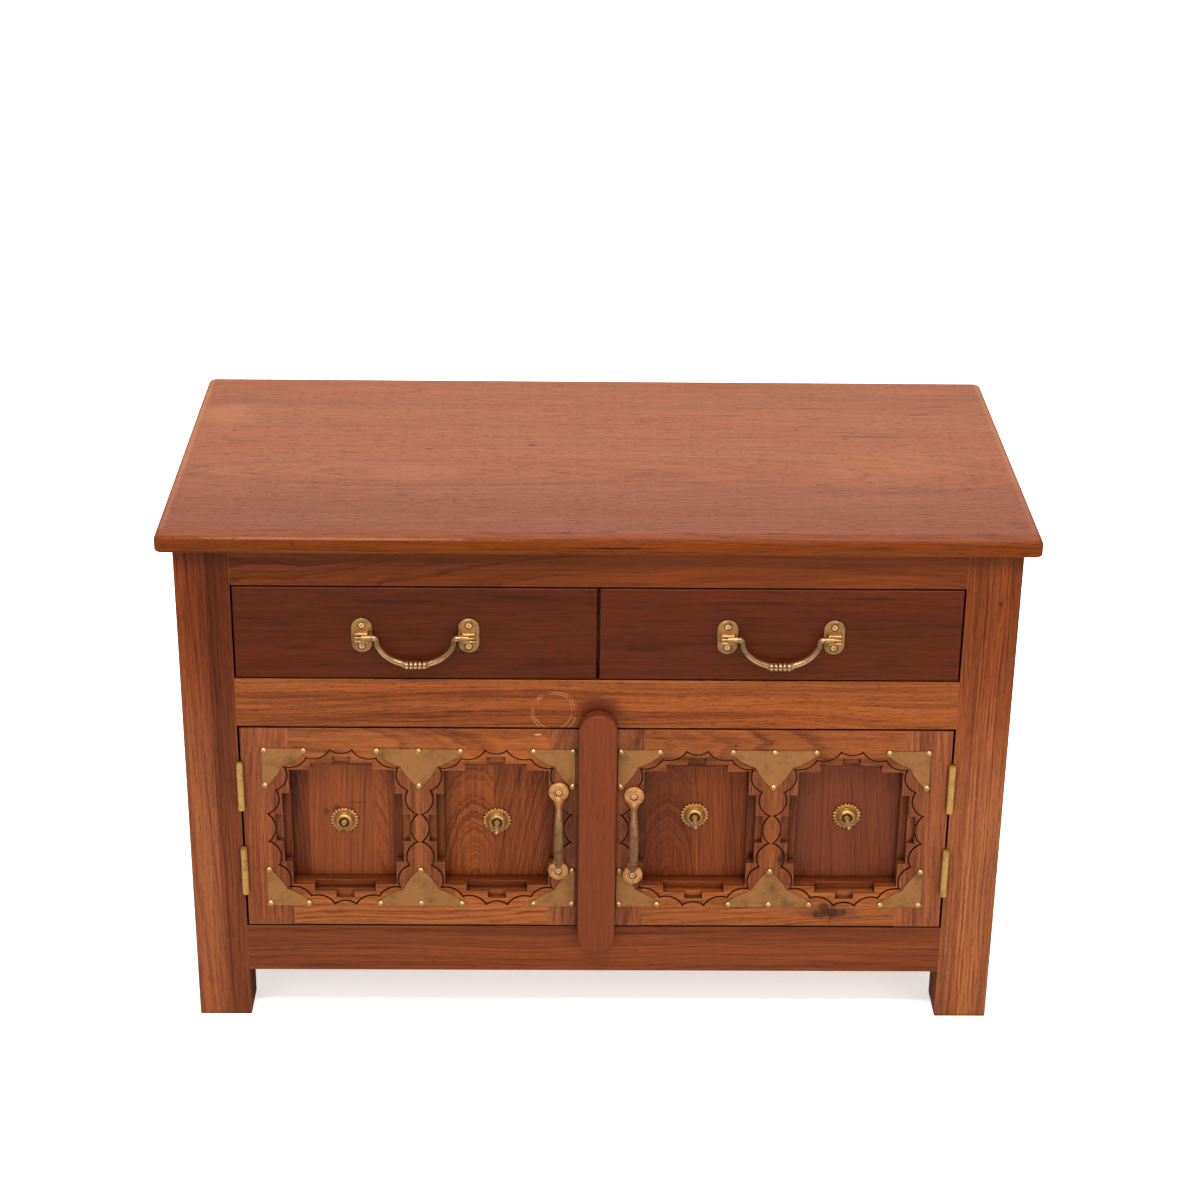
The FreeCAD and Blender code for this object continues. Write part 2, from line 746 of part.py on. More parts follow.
def hinge_leaf(name, side, middle, on_door):
    near = "door_edge" if on_door else "inner_half - hinge_leaf_thickness"
    across = span(side, near, near + " + hinge_leaf_thickness")
    pieces = [block(name + "_plate", across, "front", f"{middle} - hinge_height / 2",
                    "hinge_leaf_thickness", "hinge_leaf_width", "hinge_height")]
    low, high = f"{middle} - hinge_height / 2", f"{middle} + hinge_height / 2 - knuckle_height"
    for number, base in enumerate([f"{middle} - knuckle_height / 2"] if on_door else [low, high]):
        pieces.append(block(f"{name}_neck_{number}", across, "hinge_axis", base,
                            "hinge_leaf_thickness", "front - hinge_axis", "knuckle_height"))
        pieces.append(rod(f"{name}_knuckle_{number}", signed(side, "hinge_middle"), "hinge_axis", base,
                          "hinge_barrel_radius", "knuckle_height", Z_AXIS))
    bore = rod(name + "_bore", signed(side, "hinge_middle"), "hinge_axis",
               f"{middle} - hinge_height / 2 - overrun", "hinge_pin_radius + hinge_pin_clearance",
               "hinge_height + 2 * overrun", Z_AXIS)
    return cut(name, merge(name + "_solid", *pieces), bore)


HINGE_MIDDLES = (("upper", "(door_middle + hinge_spacing / 2)"), ("lower", "(door_middle - hinge_spacing / 2)"))
leaves, pins = [], []
for hand, side in (("left", LEFT), ("right", RIGHT)):
    for word, middle in HINGE_MIDDLES:
        leaves.append(hinge_leaf(f"case_leaf_{hand}_{word}", side, middle, False))
        stem = rod(f"pin_stem_{hand}_{word}", signed(side, "hinge_middle"), "hinge_axis",
                   f"{middle} - hinge_height / 2", "hinge_pin_radius", "hinge_height", Z_AXIS)
        head = rod(f"pin_head_{hand}_{word}", signed(side, "hinge_middle"), "hinge_axis",
                   f"{middle} + hinge_height / 2", "hinge_cap_radius", "hinge_cap_height", Z_AXIS)
        pins.append(merge(f"pin_{hand}_{word}", stem, head))
keep(cut("case_hinge_leaves", gather("case_leaves", *leaves), case_screw_seats), "case_hinge_leaves")
keep(gather("hinge_pins", *pins), "hinge_pins")


# Outlines that are turned or swept

def corner(radius, depth, bend):
    """Steps that lead from a rim on to its face with a quarter round."""
    lean = bend * math.cos(math.pi / 4) - bend
    return [(radius, depth - bend), ((radius + lean, depth + lean), (radius - bend, depth))]


def cap(radius, base, height):
    """The arc from a rim over to the axis."""
    bend = (radius ** 2 + height ** 2) / (2 * height)
    centre = base + height - bend
    lean = (math.atan2(base - centre, radius) + math.pi / 2) / 2
    return (bend * math.cos(lean), centre + bend * math.sin(lean)), (0, base + height)


OUTWARD = FreeCAD.Vector(0, -1, 0)


# Drawers: fronts rebated over grooved boxes, each with a swinging bail between two plates

def front_arrises(edge, box):
    return all(same(vertex.Point.y, box.YMin) for vertex in edge.Vertexes)


# Along the bow: how far down it lies, and how much of its thickening it has
BAIL_SHARES = ((0.0, 0.0), (0.2, 0.05), (0.4, 0.2), (0.6, 0.5), (0.8, 0.85), (1.0, 1.0))


def bail(name, side):
    """A tapering bow hung on two pins, with a beaded grip at the middle."""
    span_half, drop = size("bail_half_span"), size("bail_drop")
    grip_half = size("bail_grip_length") / 2
    pieces = []
    for end in (LEFT, RIGHT):
        sections = []
        for step_share, thick_share in BAIL_SHARES:
            lean = step_share * math.acos(grip_half / 2 / span_half)
            thick = size("bail_wire_radius")
            thick += thick_share * (size("bail_grip_radius") - thick)
            spot = FreeCAD.Vector(end * span_half * math.cos(lean), 0, -drop * math.sin(lean))
            way = FreeCAD.Vector(-end * span_half * math.sin(lean), 0, -drop * math.cos(lean))
            ring = Part.makeCircle(thick)
            turn = math.degrees(math.atan2(way.x, way.z))
            ring.Placement = FreeCAD.Placement(spot, FreeCAD.Rotation(Y_AXIS, turn))
            sections.append(Part.Wire(ring))
        pieces.append(Part.makeLoft(sections, True))
        tip = size("bail_spacing") / 2 - size("bail_ear_length") + size("bail_pin_length")
        start = FreeCAD.Vector(end * span_half, 0, 0)
        pieces.append(Part.makeCylinder(size("bail_pin_radius"), tip - span_half, start, X_AXIS * end))
        pieces.append(Part.makeSphere(size("bail_shoulder_radius"), start))
    count = int(size("bail_bead_count"))
    pitch = 2 * grip_half / count
    valley, crown = size("bail_grip_radius"), size("bail_bead_radius")
    profile = [(0, -grip_half), (valley, -grip_half)]
    for bead in range(count):
        low = bead * pitch - grip_half
        profile.append(((crown, low + pitch / 2), (valley, low + pitch)))
    grip = turned(profile + [(0, grip_half)])
    pieces.append(set_at(grip, (0, 0, -drop), X_AXIS))
    solid = pieces[0].multiFuse(pieces[1:])
    solid.translate(FreeCAD.Vector(side * size("drawer_middle"), size("front") - size("bail_pivot_stand"),
                                   size("bail_height")))
    return formed(name, solid)


def bail_plate(name, side, end):
    across = f"{side} * drawer_middle + {end} * bail_spacing / 2"
    body = doc.addObject("PartDesign::Body", name + "_back")
    sketch = slot_sketch(body, name + "_outline", "bail_plate_width", "bail_plate_height")
    pad = padded(body, sketch, "bail_plate_thickness")
    rounded(body, pad, front_arrises, "bail_plate_edge_radius")
    place(body, across, "front", "bail_height")
    pivot = "front - bail_pivot_stand"
    pieces = [body, block(name + "_boss", f"{across} - bail_boss_width / 2", pivot,
                          "bail_height - bail_boss_height / 2", "bail_boss_width",
                          "bail_pivot_stand - bail_plate_thickness / 2", "bail_boss_height")]
    for number in (-1, 0, 1):
        height = f"bail_height + {number} * (bail_boss_height / 2 - bail_reed_radius)"
        pieces.append(rod(f"{name}_reed_{number + 2}", f"{across} - bail_boss_width / 2", pivot, height,
                          "bail_reed_radius", "bail_boss_width", X_AXIS))
    pieces.append(rod(name + "_ear", across, pivot, "bail_height", "bail_ear_radius",
                      "bail_ear_length", X_AXIS * -end))
    mouth = f"{side} * drawer_middle + {end} * (bail_spacing / 2 - bail_ear_length - overrun)"
    hole = rod(name + "_hole", mouth, pivot, "bail_height", "bail_pin_radius + bail_pin_clearance",
               "bail_pin_length + knuckle_gap + overrun", X_AXIS * end)
    return cut(name, merge(name + "_solid", *pieces), hole)


def drawer(hand, side):
    name = "drawer_" + hand
    front_body = timber(name + "_face", span(side, "drawer_meeting_gap / 2", "drawer_box_outer"), "front",
                        "drawer_base + drawer_bottom_gap", "drawer_front_width",
                        "drawer_front_thickness", "drawer_front_height", front_arrises,
                        "drawer_edge_radius")
    start = "front + drawer_front_thickness"
    sides = gather(name + "_side_boards", *[
        block(f"{name}_side_{word}", span(side, low, low + " + drawer_board_thickness"),
              start + " - drawer_lap", "drawer_box_base", "drawer_board_thickness",
              "drawer_length - drawer_front_thickness + drawer_lap", "drawer_side_height")
        for word, low in (("inner", "drawer_box_inner"),
                          ("outer", "drawer_box_outer - drawer_board_thickness"))])
    inside = "drawer_box_inner + drawer_board_thickness", "drawer_box_outer - drawer_board_thickness"
    width = "drawer_box_outer - drawer_box_inner - 2 * drawer_board_thickness"
    floor_top = "drawer_box_base + drawer_bottom_rise + drawer_bottom_thickness"
    back_board = block(name + "_back_board", span(side, *inside),
                       "front + drawer_length - drawer_board_thickness", floor_top, width,
                       "drawer_board_thickness",
                       "drawer_side_height - drawer_bottom_rise - drawer_bottom_thickness")
    bottom = block(name + "_bottom_board",
                   span(side, inside[0] + " - drawer_bottom_groove", inside[1] + " + drawer_bottom_groove"),
                   start + " - drawer_bottom_groove", "drawer_box_base + drawer_bottom_rise",
                   width + " + 2 * drawer_bottom_groove",
                   "drawer_length - drawer_front_thickness + drawer_bottom_groove",
                   "drawer_bottom_thickness")
    face = size("front") - size("bail_plate_thickness")
    spots = [((side * size("drawer_middle") + end * size("bail_spacing") / 2, face,
               size("bail_height") + way * size("bail_screw_spacing") / 2), Y_AXIS)
             for end in (LEFT, RIGHT) for way in (-1, 1)]
    screws, seats = screw_set(name + "_screws", ("plate_screw", size("plate_screw_reach"), 0.0, spots))
    plates = gather(name + "_plates", *[bail_plate(f"{name}_plate_{word}", side, end)
                                        for word, end in (("left", LEFT), ("right", RIGHT))])
    keep(cut(name + "_front", front_body, sides, bottom, seats), name + "_front")
    keep(cut(name + "_sides", sides, bottom), name + "_sides")
    keep(back_board, name + "_back")
    keep(bottom, name + "_bottom")
    keep(cut(name + "_handle_plates", plates, seats), name + "_handle_plates")
    keep(screws, name + "_screws")
    keep(bail(name + "_bail", side), name + "_bail")


drawer("left", LEFT)
drawer("right", RIGHT)


# Carving: a scalloped outline cut round each opening, and stepped notches inside it

# Points of the outline in one quarter, as shares of its half width and half height
SCALLOP_SHARES = ((0.146, 1.0), (0.458, 0.895), (0.759, 0.781), (0.876, 0.484), (1.0, 0.179))
# Rise of the arcs over their chords, across the top and down the sides
TOP_SAG_SHARE, SIDE_SAG_SHARE = 0.2, 0.25


def scallop_arcs():
    """The outline's arcs as a centre and a radius each, with the points where they meet."""
    wide, high = size("scallop_half_width"), size("scallop_half_height")
    quarter = [FreeCAD.Vector(wide * across, 0, high * up) for across, up in SCALLOP_SHARES]
    lower = [FreeCAD.Vector(point.x, 0, -point.z) for point in reversed(quarter)]
    half = quarter + lower
    points = half + [FreeCAD.Vector(-point.x, 0, point.z) for point in reversed(half)]
    sides = range(len(SCALLOP_SHARES) // 2, len(half) - len(SCALLOP_SHARES) // 2 - 1)
    arcs = []
    for index, point in enumerate(points):
        after = points[(index + 1) % len(points)]
        share = SIDE_SAG_SHARE if index % len(half) in sides else TOP_SAG_SHARE
        chord, middle = after - point, (point + after) / 2
        rise = chord.Length * share
        radius = (chord.Length ** 2 / 4 + rise ** 2) / (2 * rise)
        outward = FreeCAD.Vector(-chord.z, 0, chord.x).normalize()
        arcs.append((middle + outward * (radius - rise), radius))
    return points, arcs


def scallop_face(inset, centre_x, y):
    """The outline drawn in by an inset: wider arcs round the same centres."""
    points, arcs = scallop_arcs()
    moved = []
    for index, point in enumerate(points):
        (first, near), (second, far) = arcs[index - 1], arcs[index]
        near, far = near + inset, far + inset
        apart = second - first
        along = (apart.Length ** 2 + near ** 2 - far ** 2) / (2 * apart.Length)
        across = math.sqrt(near ** 2 - along ** 2)
        base = first + apart.normalize() * along
        aside = FreeCAD.Vector(-apart.z, 0, apart.x) * across
        moved.append(min((base + aside, base - aside), key=lambda spot: (spot - point).Length))
    shift = FreeCAD.Vector(centre_x, y, size("door_middle"))
    edges = []
    for index, (centre, radius) in enumerate(arcs):
        start, stop = moved[index], moved[(index + 1) % len(moved)]
        middle = centre + ((start + stop) / 2 - centre).normalize() * (radius + inset)
        edges.append(Part.Arc(start + shift, middle + shift, stop + shift).toShape())
    return Part.Face(Part.Wire(edges))


def step_box(centre_x, half_width, half_height, depth):
    low = FreeCAD.Vector(centre_x - half_width, size("front") - size("overrun"),
                         size("door_middle") - half_height)
    return Part.makeBox(2 * half_width, depth + size("overrun"), 2 * half_height, low)


def carving(name, side):
    """What the carver takes off round the two openings of a door."""
    cutters = []
    front, over = size("front"), size("overrun")
    for place_name in ("outer_opening", "inner_opening"):
        centre_x = side * size(place_name)
        whole = scallop_face(0, centre_x, front - over).extrude(Y_AXIS * (over + size("groove_depth")))
        island = scallop_face(size("groove_width"), centre_x, front + size("field_depth"))
        island = island.extrude(Y_AXIS * (size("groove_depth") + over))
        wide, high = size("opening_width") / 2, size("opening_height") / 2
        steps = [step_box(centre_x, size("deep_step_half_width"), high + size("deep_step_reach"),
                          size("deep_step_depth")),
                 step_box(centre_x, wide + size("deep_step_reach"), size("deep_step_half_height"),
                          size("deep_step_depth")),
                 step_box(centre_x, size("shallow_step_half_width"), high + size("shallow_step_reach"),
                          size("shallow_step_depth")),
                 step_box(centre_x, wide + size("shallow_step_reach"),
                          size("shallow_step_half_height"), size("shallow_step_depth"))]
        cutters.append(whole.cut(island).multiFuse(steps))
    return formed(name, Part.makeCompound(cutters))


# Brass plates at the corners of the carving and over the muntin, each with domed tacks

def flat_outline(steps, centre_x, centre_z):
    """A wire on the front plane from points; a pair of points is an arc."""
    shift = FreeCAD.Vector(centre_x, size("front"), centre_z)
    last = shift + FreeCAD.Vector(steps[0][0], 0, steps[0][1])
    edges = []
    for step in steps[1:] + steps[:1]:
        arc = isinstance(step[0], tuple)
        points = [shift + FreeCAD.Vector(point[0], 0, point[1]) for point in (step if arc else (step,))]
        curve = Part.Arc(last, *points) if arc else Part.LineSegment(last, *points)
        edges.append(curve.toShape())
        last = points[-1]
    return Part.Wire(edges)


def bowed(start, stop, away):
    """An arc between two points that bulges a little away from a third."""
    middle = ((start[0] + stop[0]) / 2, (start[1] + stop[1]) / 2)
    chord = math.dist(start, stop)
    normal = ((stop[1] - start[1]) / chord, (start[0] - stop[0]) / chord)
    facing = normal[0] * (middle[0] - away[0]) + normal[1] * (middle[1] - away[1])
    rise = math.copysign(size("plate_sag"), facing)
    return (middle[0] + normal[0] * rise, middle[1] + normal[1] * rise), stop


def throat_spot(way_x):
    """Where a plate's inner edge comes nearest to the corner of the carving."""
    across, up = SCALLOP_SHARES[len(SCALLOP_SHARES) // 2]
    back_off = size("plate_throat") * math.cos(math.pi / 4)
    inward = size("scallop_half_width") * (1 - across) + size("plate_edge_inset")
    down = size("scallop_half_height") * (1 - up)
    return way_x * (inward - back_off), -(down - back_off)


def corner_plate(centre_x, centre_z, way_x, way_z):
    leg, drop, end = size("plate_leg"), size("plate_drop"), size("plate_end_width")
    throat = throat_spot(1)
    steps = [(0, 0), (leg, 0), (leg, -end), bowed((leg, -end), throat, (0, 0)),
             bowed(throat, (end, -drop), (0, 0)), (0, -drop)]
    steps = [tuple((x * way_x, z * way_z) for x, z in step) if isinstance(step[0], tuple)
             else (step[0] * way_x, step[1] * way_z) for step in steps]
    return Part.Face(flat_outline(steps, centre_x, centre_z)).extrude(OUTWARD * size("plate_thickness"))


def muntin_plate(centre_x, centre_z, way_z):
    leg, drop, end = size("plate_leg"), size("plate_drop"), size("plate_end_width")
    cusp = size("scallop_half_width") * (1 - SCALLOP_SHARES[len(SCALLOP_SHARES) // 2][0])
    cusp += size("scallop_margin") - size("plate_throat") * math.cos(math.pi / 4)
    throat = cusp, throat_spot(1)[1]
    right = [(leg, 0), (leg, -end), bowed((leg, -end), throat, (0, 0)),
             bowed(throat, (end / 2, -drop), (0, 0))]
    left = [(-end / 2, -drop), bowed((-end / 2, -drop), (-throat[0], throat[1]), (0, 0)),
            bowed((-throat[0], throat[1]), (-leg, -end), (0, 0)), (-leg, 0)]
    steps = [tuple((x, z * way_z) for x, z in step) if isinstance(step[0], tuple)
             else (step[0], step[1] * way_z) for step in right + left]
    return Part.Face(flat_outline(steps, centre_x, centre_z)).extrude(OUTWARD * size("plate_thickness"))


def plate_layout(side):
    """Each plate's solid and the places of its tacks."""
    edge_x = size("scallop_half_width") + size("plate_edge_inset")
    inset, pitch = size("tack_inset"), size("tack_spacing")
    plates, tacks = [], []
    for way_z in (1, -1):
        level = size("door_middle") + way_z * size("scallop_half_height")
        for spot, way_x in (("outer_opening", -1), ("inner_opening", 1)):
            corner_x = side * (size(spot) - way_x * edge_x)
            plates.append(corner_plate(corner_x, level, side * way_x, way_z))
            tacks += [(corner_x + side * way_x * across, level - way_z * down) for across, down in
                      ((inset, inset), (inset + pitch, inset), (inset, inset + pitch))]
        middle = side * size("muntin_middle")
        plates.append(muntin_plate(middle, level, way_z))
        tacks += [(middle + across, level - way_z * down) for across, down in
                  ((0, inset), (inset + pitch, inset), (-inset - pitch, inset), (0, inset + pitch))]
    return plates, tacks


def tack_solid():
    """A domed head over a nail; depth 0 is the face of the plate."""
    radius, nail = size("tack_radius"), size("tack_nail_radius")
    length = size("tack_nail_length")
    return turned([(0, -length), (nail, -length), (nail, 0), (radius, 0),
                   cap(radius, 0, size("tack_height"))])


# Spiked bosses on the panels

# Along the dome's round: where it passes between its rim and its top
DOME_SHARE = (0.86, 0.72)


def boss(centre_x, centre_z, spike_length):
    flange, rim = size("boss_flange_radius"), size("boss_flange_thickness")
    dome, rise = size("boss_dome_radius"), size("boss_dome_height")
    collar, top = size("boss_collar_radius"), rim + rise
    base = top + size("boss_collar_height")
    root, tip = size("spike_root_radius"), size("spike_tip_radius")
    via = dome * DOME_SHARE[0], rim + rise * DOME_SHARE[1]
    body = turned([(0, 0), (flange, 0), (flange, rim), (dome, rim), (via, (collar, top)), (collar, base),
                   (root, base), (tip, base + spike_length - tip), cap(tip, base + spike_length - tip, tip)])
    count = int(size("boss_bead_count"))
    beads = []
    for index in range(count):
        angle = 2 * math.pi * index / count
        spot = FreeCAD.Vector(flange * math.cos(angle), rim / 2, flange * math.sin(angle))
        beads.append(Part.makeSphere(size("boss_bead_radius"), spot))
    whole = body.multiFuse(beads)
    under = Part.makeBox(4 * flange, 2 * flange, 4 * flange, FreeCAD.Vector(-2 * flange, -2 * flange, -2 * flange))
    return set_at(whole.cut(under), (centre_x, size("panel_face"), centre_z), OUTWARD)


# Door handles: a spindle grip between two necks that stand on round feet

def grip_arcs(neck, grip, half):
    """The two arcs of a grip that swells from its necks to its middle."""
    swell = grip - neck
    bend = (half ** 2 + swell ** 2) / (2 * swell)
    lean = math.atan2(half, bend - swell) / 2
    via = grip - bend + bend * math.cos(lean)
    along = bend * math.sin(lean)
    return ((via, -along), (grip, 0)), ((via, along), (neck, half))


def handle(name, side, shift):
    x, middle = side * size("handle_place"), size("door_middle") + size(shift)
    front, bend = size("front"), size("handle_bend_radius")
    neck, grip = size("handle_neck_radius"), size("handle_grip_radius")
    out = front - size("handle_reach") + grip
    stand = size("handle_spacing") / 2 - size("handle_neck_inset")
    thick = size("handle_foot_thickness")
    foot = turned([(0, 0), (size("handle_foot_radius"), 0)]
                  + corner(size("handle_foot_radius"), thick, thick / 2) + [(0, thick)])
    pieces = []
    for end in (-1, 1):
        pieces.append(set_at(foot, (x, front, middle + end * size("handle_spacing") / 2), OUTWARD))
        level = middle + end * stand
        start = FreeCAD.Vector(x, front, level)
        turn_in = FreeCAD.Vector(x, out + bend, level)
        turn_out = FreeCAD.Vector(x, out, level - end * bend)
        lean = bend * math.cos(math.pi / 4)
        via = FreeCAD.Vector(x, out + bend - lean, level - end * (bend - lean))
        path = Part.Wire([Part.LineSegment(start, turn_in).toShape(),
                          Part.Arc(turn_in, via, turn_out).toShape()])
        ring = Part.Wire(Part.makeCircle(neck, start, Y_AXIS))
        pieces.append(path.makePipeShell([ring], True, True))
        knob = FreeCAD.Vector(x, front - size("handle_shoulder_stand"), level)
        pieces.append(Part.makeSphere(size("handle_shoulder_radius"), knob))
    half = stand - bend
    low, high = grip_arcs(neck, grip, half)
    spindle = turned([(0, -half), (neck, -half), low, high, (0, half)])
    pieces.append(set_at(spindle, (x, out, middle), Z_AXIS))
    return formed(name, pieces[0].multiFuse(pieces[1:]))


def handle_screw_spots(side, shift):
    face = size("front") - size("handle_foot_thickness")
    return [((side * size("handle_place"), face,
              size("door_middle") + size(shift) + end * size("handle_spacing") / 2), Y_AXIS)
            for end in (-1, 1)]


# Doors

def edge_arris(side_limit):
    """Picks the front arris along one upright edge."""
    def test(edge, box):
        limit = box.XMin if side_limit == LEFT else box.XMax
        on_edge = all(same(v.Point.x, limit) and same(v.Point.y, box.YMin) for v in edge.Vertexes)
        return on_edge and runs_along(edge, Z_AXIS)
    return test


def level_arris(upper):
    def test(edge, box):
        limit = box.ZMax if upper else box.ZMin
        on_edge = all(same(v.Point.z, limit) and same(v.Point.y, box.YMin) for v in edge.Vertexes)
        return on_edge and runs_along(edge, X_AXIS)
    return test


def door(hand, side, boss_shift, handle_shift, spikes):
    name = "door_" + hand
    tenon_y = "front + (door_thickness - door_tenon_thickness) / 2"
    low_inner, low_outer = "door_meeting_gap / 2 + stile_width", "door_edge - stile_width"
    between = "door_width - 2 * stile_width"
    outer = timber(name + "_outer_blank", span(side, low_outer, "door_edge"), "front", "door_bottom",
                   "stile_width", "door_thickness", "door_height", edge_arris(side), "rail_edge_radius")
    inner = timber(name + "_inner_blank", span(side, "door_meeting_gap / 2", low_inner), "front",
                   "door_bottom", "stile_width", "door_thickness", "door_height", edge_arris(-side),
                   "rail_edge_radius")
    rails = []
    for word, z, upper in (("top", "door_bottom + door_height - door_rail_height", True),
                           ("bottom", "door_bottom", False)):
        bar = timber(f"{name}_{word}_bar", span(side, low_inner, low_outer), "front", z, between,
                     "door_thickness", "door_rail_height", level_arris(upper), "rail_edge_radius")
        tenon = block(f"{name}_{word}_tenon",
                      span(side, low_inner + " - door_tenon_length", low_outer + " + door_tenon_length"),
                      tenon_y, f"{z} + tenon_shoulder", between + " + 2 * door_tenon_length",
                      "door_tenon_thickness", "door_rail_height - 2 * tenon_shoulder")
        rails.append(merge(f"{name}_{word}_blank", bar, tenon))
    muntin_x = f"{side} * muntin_middle - muntin_width / 2"
    muntin_low = "door_bottom + door_rail_height"
    muntin = merge(name + "_muntin_blank",
                   block(name + "_muntin_bar", muntin_x, "front", muntin_low, "muntin_width",
                         "door_thickness", "opening_height"),
                   block(name + "_muntin_tenon", muntin_x + " + tenon_shoulder", tenon_y,
                         muntin_low + " - door_tenon_length", "muntin_width - 2 * tenon_shoulder",
                         "door_tenon_thickness", "opening_height + 2 * door_tenon_length"))
    panels = gather(name + "_panels", *[
        block(f"{name}_panel_{word}", f"{side} * {spot} - opening_width / 2 - door_panel_lap", "panel_face",
              "door_middle - opening_height / 2 - door_panel_lap", "opening_width + 2 * door_panel_lap",
              "door_panel_thickness", "opening_height + 2 * door_panel_lap")
        for word, spot in (("outer", "outer_opening"), ("inner", "inner_opening"))])
    carved = carving(name + "_carving", side)
    plates, tack_spots = plate_layout(side)
    face = size("front") - size("plate_thickness")
    tacks = formed(name + "_tacks", Part.makeCompound([
        set_at(tack_solid(), (across, face, level), OUTWARD) for across, level in tack_spots]))
    nails = formed(name + "_nail_seats", Part.makeCompound([
        Part.makeCylinder(size("tack_nail_radius"), size("tack_nail_length"),
                          FreeCAD.Vector(across, face, level), Y_AXIS) for across, level in tack_spots]))
    screws, seats = screw_set(
        name + "_screws",
        ("plate_screw", size("plate_screw_reach"), size("handle_screw_sink"),
         handle_screw_spots(side, handle_shift)),
        ("hinge_screw", size("hinge_screw_reach"), 0.0, hinge_screw_spots(side, True)))
    stiles = gather(name + "_stile_set", outer, inner)
    rail_set = gather(name + "_rail_set", *rails)
    wedge = doc.addObject("Part::Wedge", name + "_bevel")
    for prop, formula in (("Ymin", "0"), ("Ymax", "door_thickness"), ("Zmin", "0"), ("Z2min", "0"),
                          ("Zmax", "door_height + 2 * overrun"), ("Z2max", "door_height + 2 * overrun"),
                          ("Xmin", "-overrun" if side == RIGHT else "0"),
                          ("X2min", "-overrun" if side == RIGHT else "-meeting_bevel"),
                          ("Xmax", "0" if side == RIGHT else "overrun"),
                          ("X2max", "meeting_bevel" if side == RIGHT else "overrun")):
        bind(wedge, prop, formula)
    place(wedge, signed(side, "door_meeting_gap / 2"), "front", "door_bottom - overrun")
    keep(cut(name + "_outer_stile", outer, rail_set, panels, carved, seats, nails), name + "_outer_stile")
    keep(cut(name + "_inner_stile", inner, rail_set, panels, carved, seats, nails, wedge),
         name + "_inner_stile")
    for word, rail in zip(("top", "bottom"), rails):
        keep(cut(f"{name}_{word}_rail", rail, muntin, panels, carved, nails), f"{name}_{word}_rail")
    keep(cut(name + "_muntin", muntin, panels, carved, nails), name + "_muntin")
    keep(panels, name + "_panels")
    brass = formed(name + "_plate_blanks", Part.makeCompound(plates))
    feet = gather(name + "_handle_feet", *[
        rod(f"{name}_foot_room_{word}", signed(side, "handle_place"), "front - plate_thickness - overrun",
            f"door_middle + {handle_shift} {way} handle_spacing / 2",
            "handle_foot_radius + handle_foot_clearance", "plate_thickness + 2 * overrun", Y_AXIS)
        for word, way in (("upper", "+"), ("lower", "-"))])
    keep(cut(name + "_brass_plates", brass, nails, feet), name + "_brass_plates")
    keep(tacks, name + "_tacks")
    level = size("door_middle") + size(boss_shift)
    keep(formed(name + "_bosses", Part.makeCompound([
        boss(side * size(spot), level, size(length)) for spot, length in spikes])), name + "_bosses")
    keep(cut(name + "_handle", handle(name + "_handle_blank", side, handle_shift), seats), name + "_handle")
    keep(screws, name + "_screws")
    door_leaves = gather(name + "_leaves", *[hinge_leaf(f"{name}_leaf_{word}", side, middle, True)
                                             for word, middle in HINGE_MIDDLES])
    keep(cut(name + "_hinge_leaves", door_leaves, seats), name + "_hinge_leaves")


door("left", LEFT, "boss_shift_left", "handle_shift_left",
     (("outer_opening", "spike_stub_length"), ("inner_opening", "spike_length")))
door("right", RIGHT, "boss_shift_right", "handle_shift_right",
     (("outer_opening", "spike_length"), ("inner_opening", "spike_length")))


# Meeting bar: fixed to the right door, it laps the left door and both rails

bar_body = doc.addObject("PartDesign::Body", "meeting_bar_body")
bar_height = "door_opening_height + bar_over_top + bar_over_bottom"
bar_sketch = slot_sketch(bar_body, "meeting_bar_outline", "bar_width", bar_height)
bar_pad = padded(bar_body, bar_sketch, "bar_thickness - bar_relief")
rounded(bar_body, bar_pad, front_arrises, "bar_edge_radius")
place(bar_body, "bar_offset", "front - bar_relief", "door_middle + (bar_over_top - bar_over_bottom) / 2")
bar_seat = block("meeting_bar_seat", "door_meeting_gap / 2", "front - bar_relief - overrun", "door_bottom",
                 "bar_offset + bar_width / 2 - door_meeting_gap / 2", "bar_relief + overrun",
                 "door_height")
keep(merge("meeting_bar", bar_body, bar_seat), "meeting_bar")

doc.recompute()
for thing in doc.Objects:
    if {"Invalid", "Error"} & set(thing.State):
        raise RuntimeError("not built: " + thing.Name)
    shape = getattr(thing, "Shape", None)
    if shape is not None and not thing.isDerivedFrom("Sketcher::SketchObject"):
        if "Origin" not in thing.Name and (shape.isNull() or not shape.isValid()):
            raise RuntimeError("bad shape: " + thing.Name)

os.makedirs("parts", exist_ok=True)
for thing in NODES:
    thing.Shape.exportStep(os.path.join("parts", thing.Label + ".step"))
print(len(NODES), "sub-parts written")
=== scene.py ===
"""Looks of a carved two-door cabinet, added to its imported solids."""

import math

import bpy
from mathutils import Matrix, Vector


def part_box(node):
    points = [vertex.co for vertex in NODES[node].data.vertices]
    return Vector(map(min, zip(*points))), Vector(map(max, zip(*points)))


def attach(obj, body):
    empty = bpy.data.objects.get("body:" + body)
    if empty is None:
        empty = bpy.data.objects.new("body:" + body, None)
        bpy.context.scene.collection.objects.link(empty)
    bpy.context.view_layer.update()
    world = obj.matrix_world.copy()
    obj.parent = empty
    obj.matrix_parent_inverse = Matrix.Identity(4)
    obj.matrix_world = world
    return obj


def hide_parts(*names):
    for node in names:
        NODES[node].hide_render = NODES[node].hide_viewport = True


bl_info = {
    "name": "Carved cabinet looks",
    "version": (1, 0, 0),
    "blender": (4, 5, 0),
    "location": "View3D > Sidebar > Cabinet",
    "description": "Dresses the packed cabinet with teak and aged brass, and sets its stage",
    "category": "Object",
}

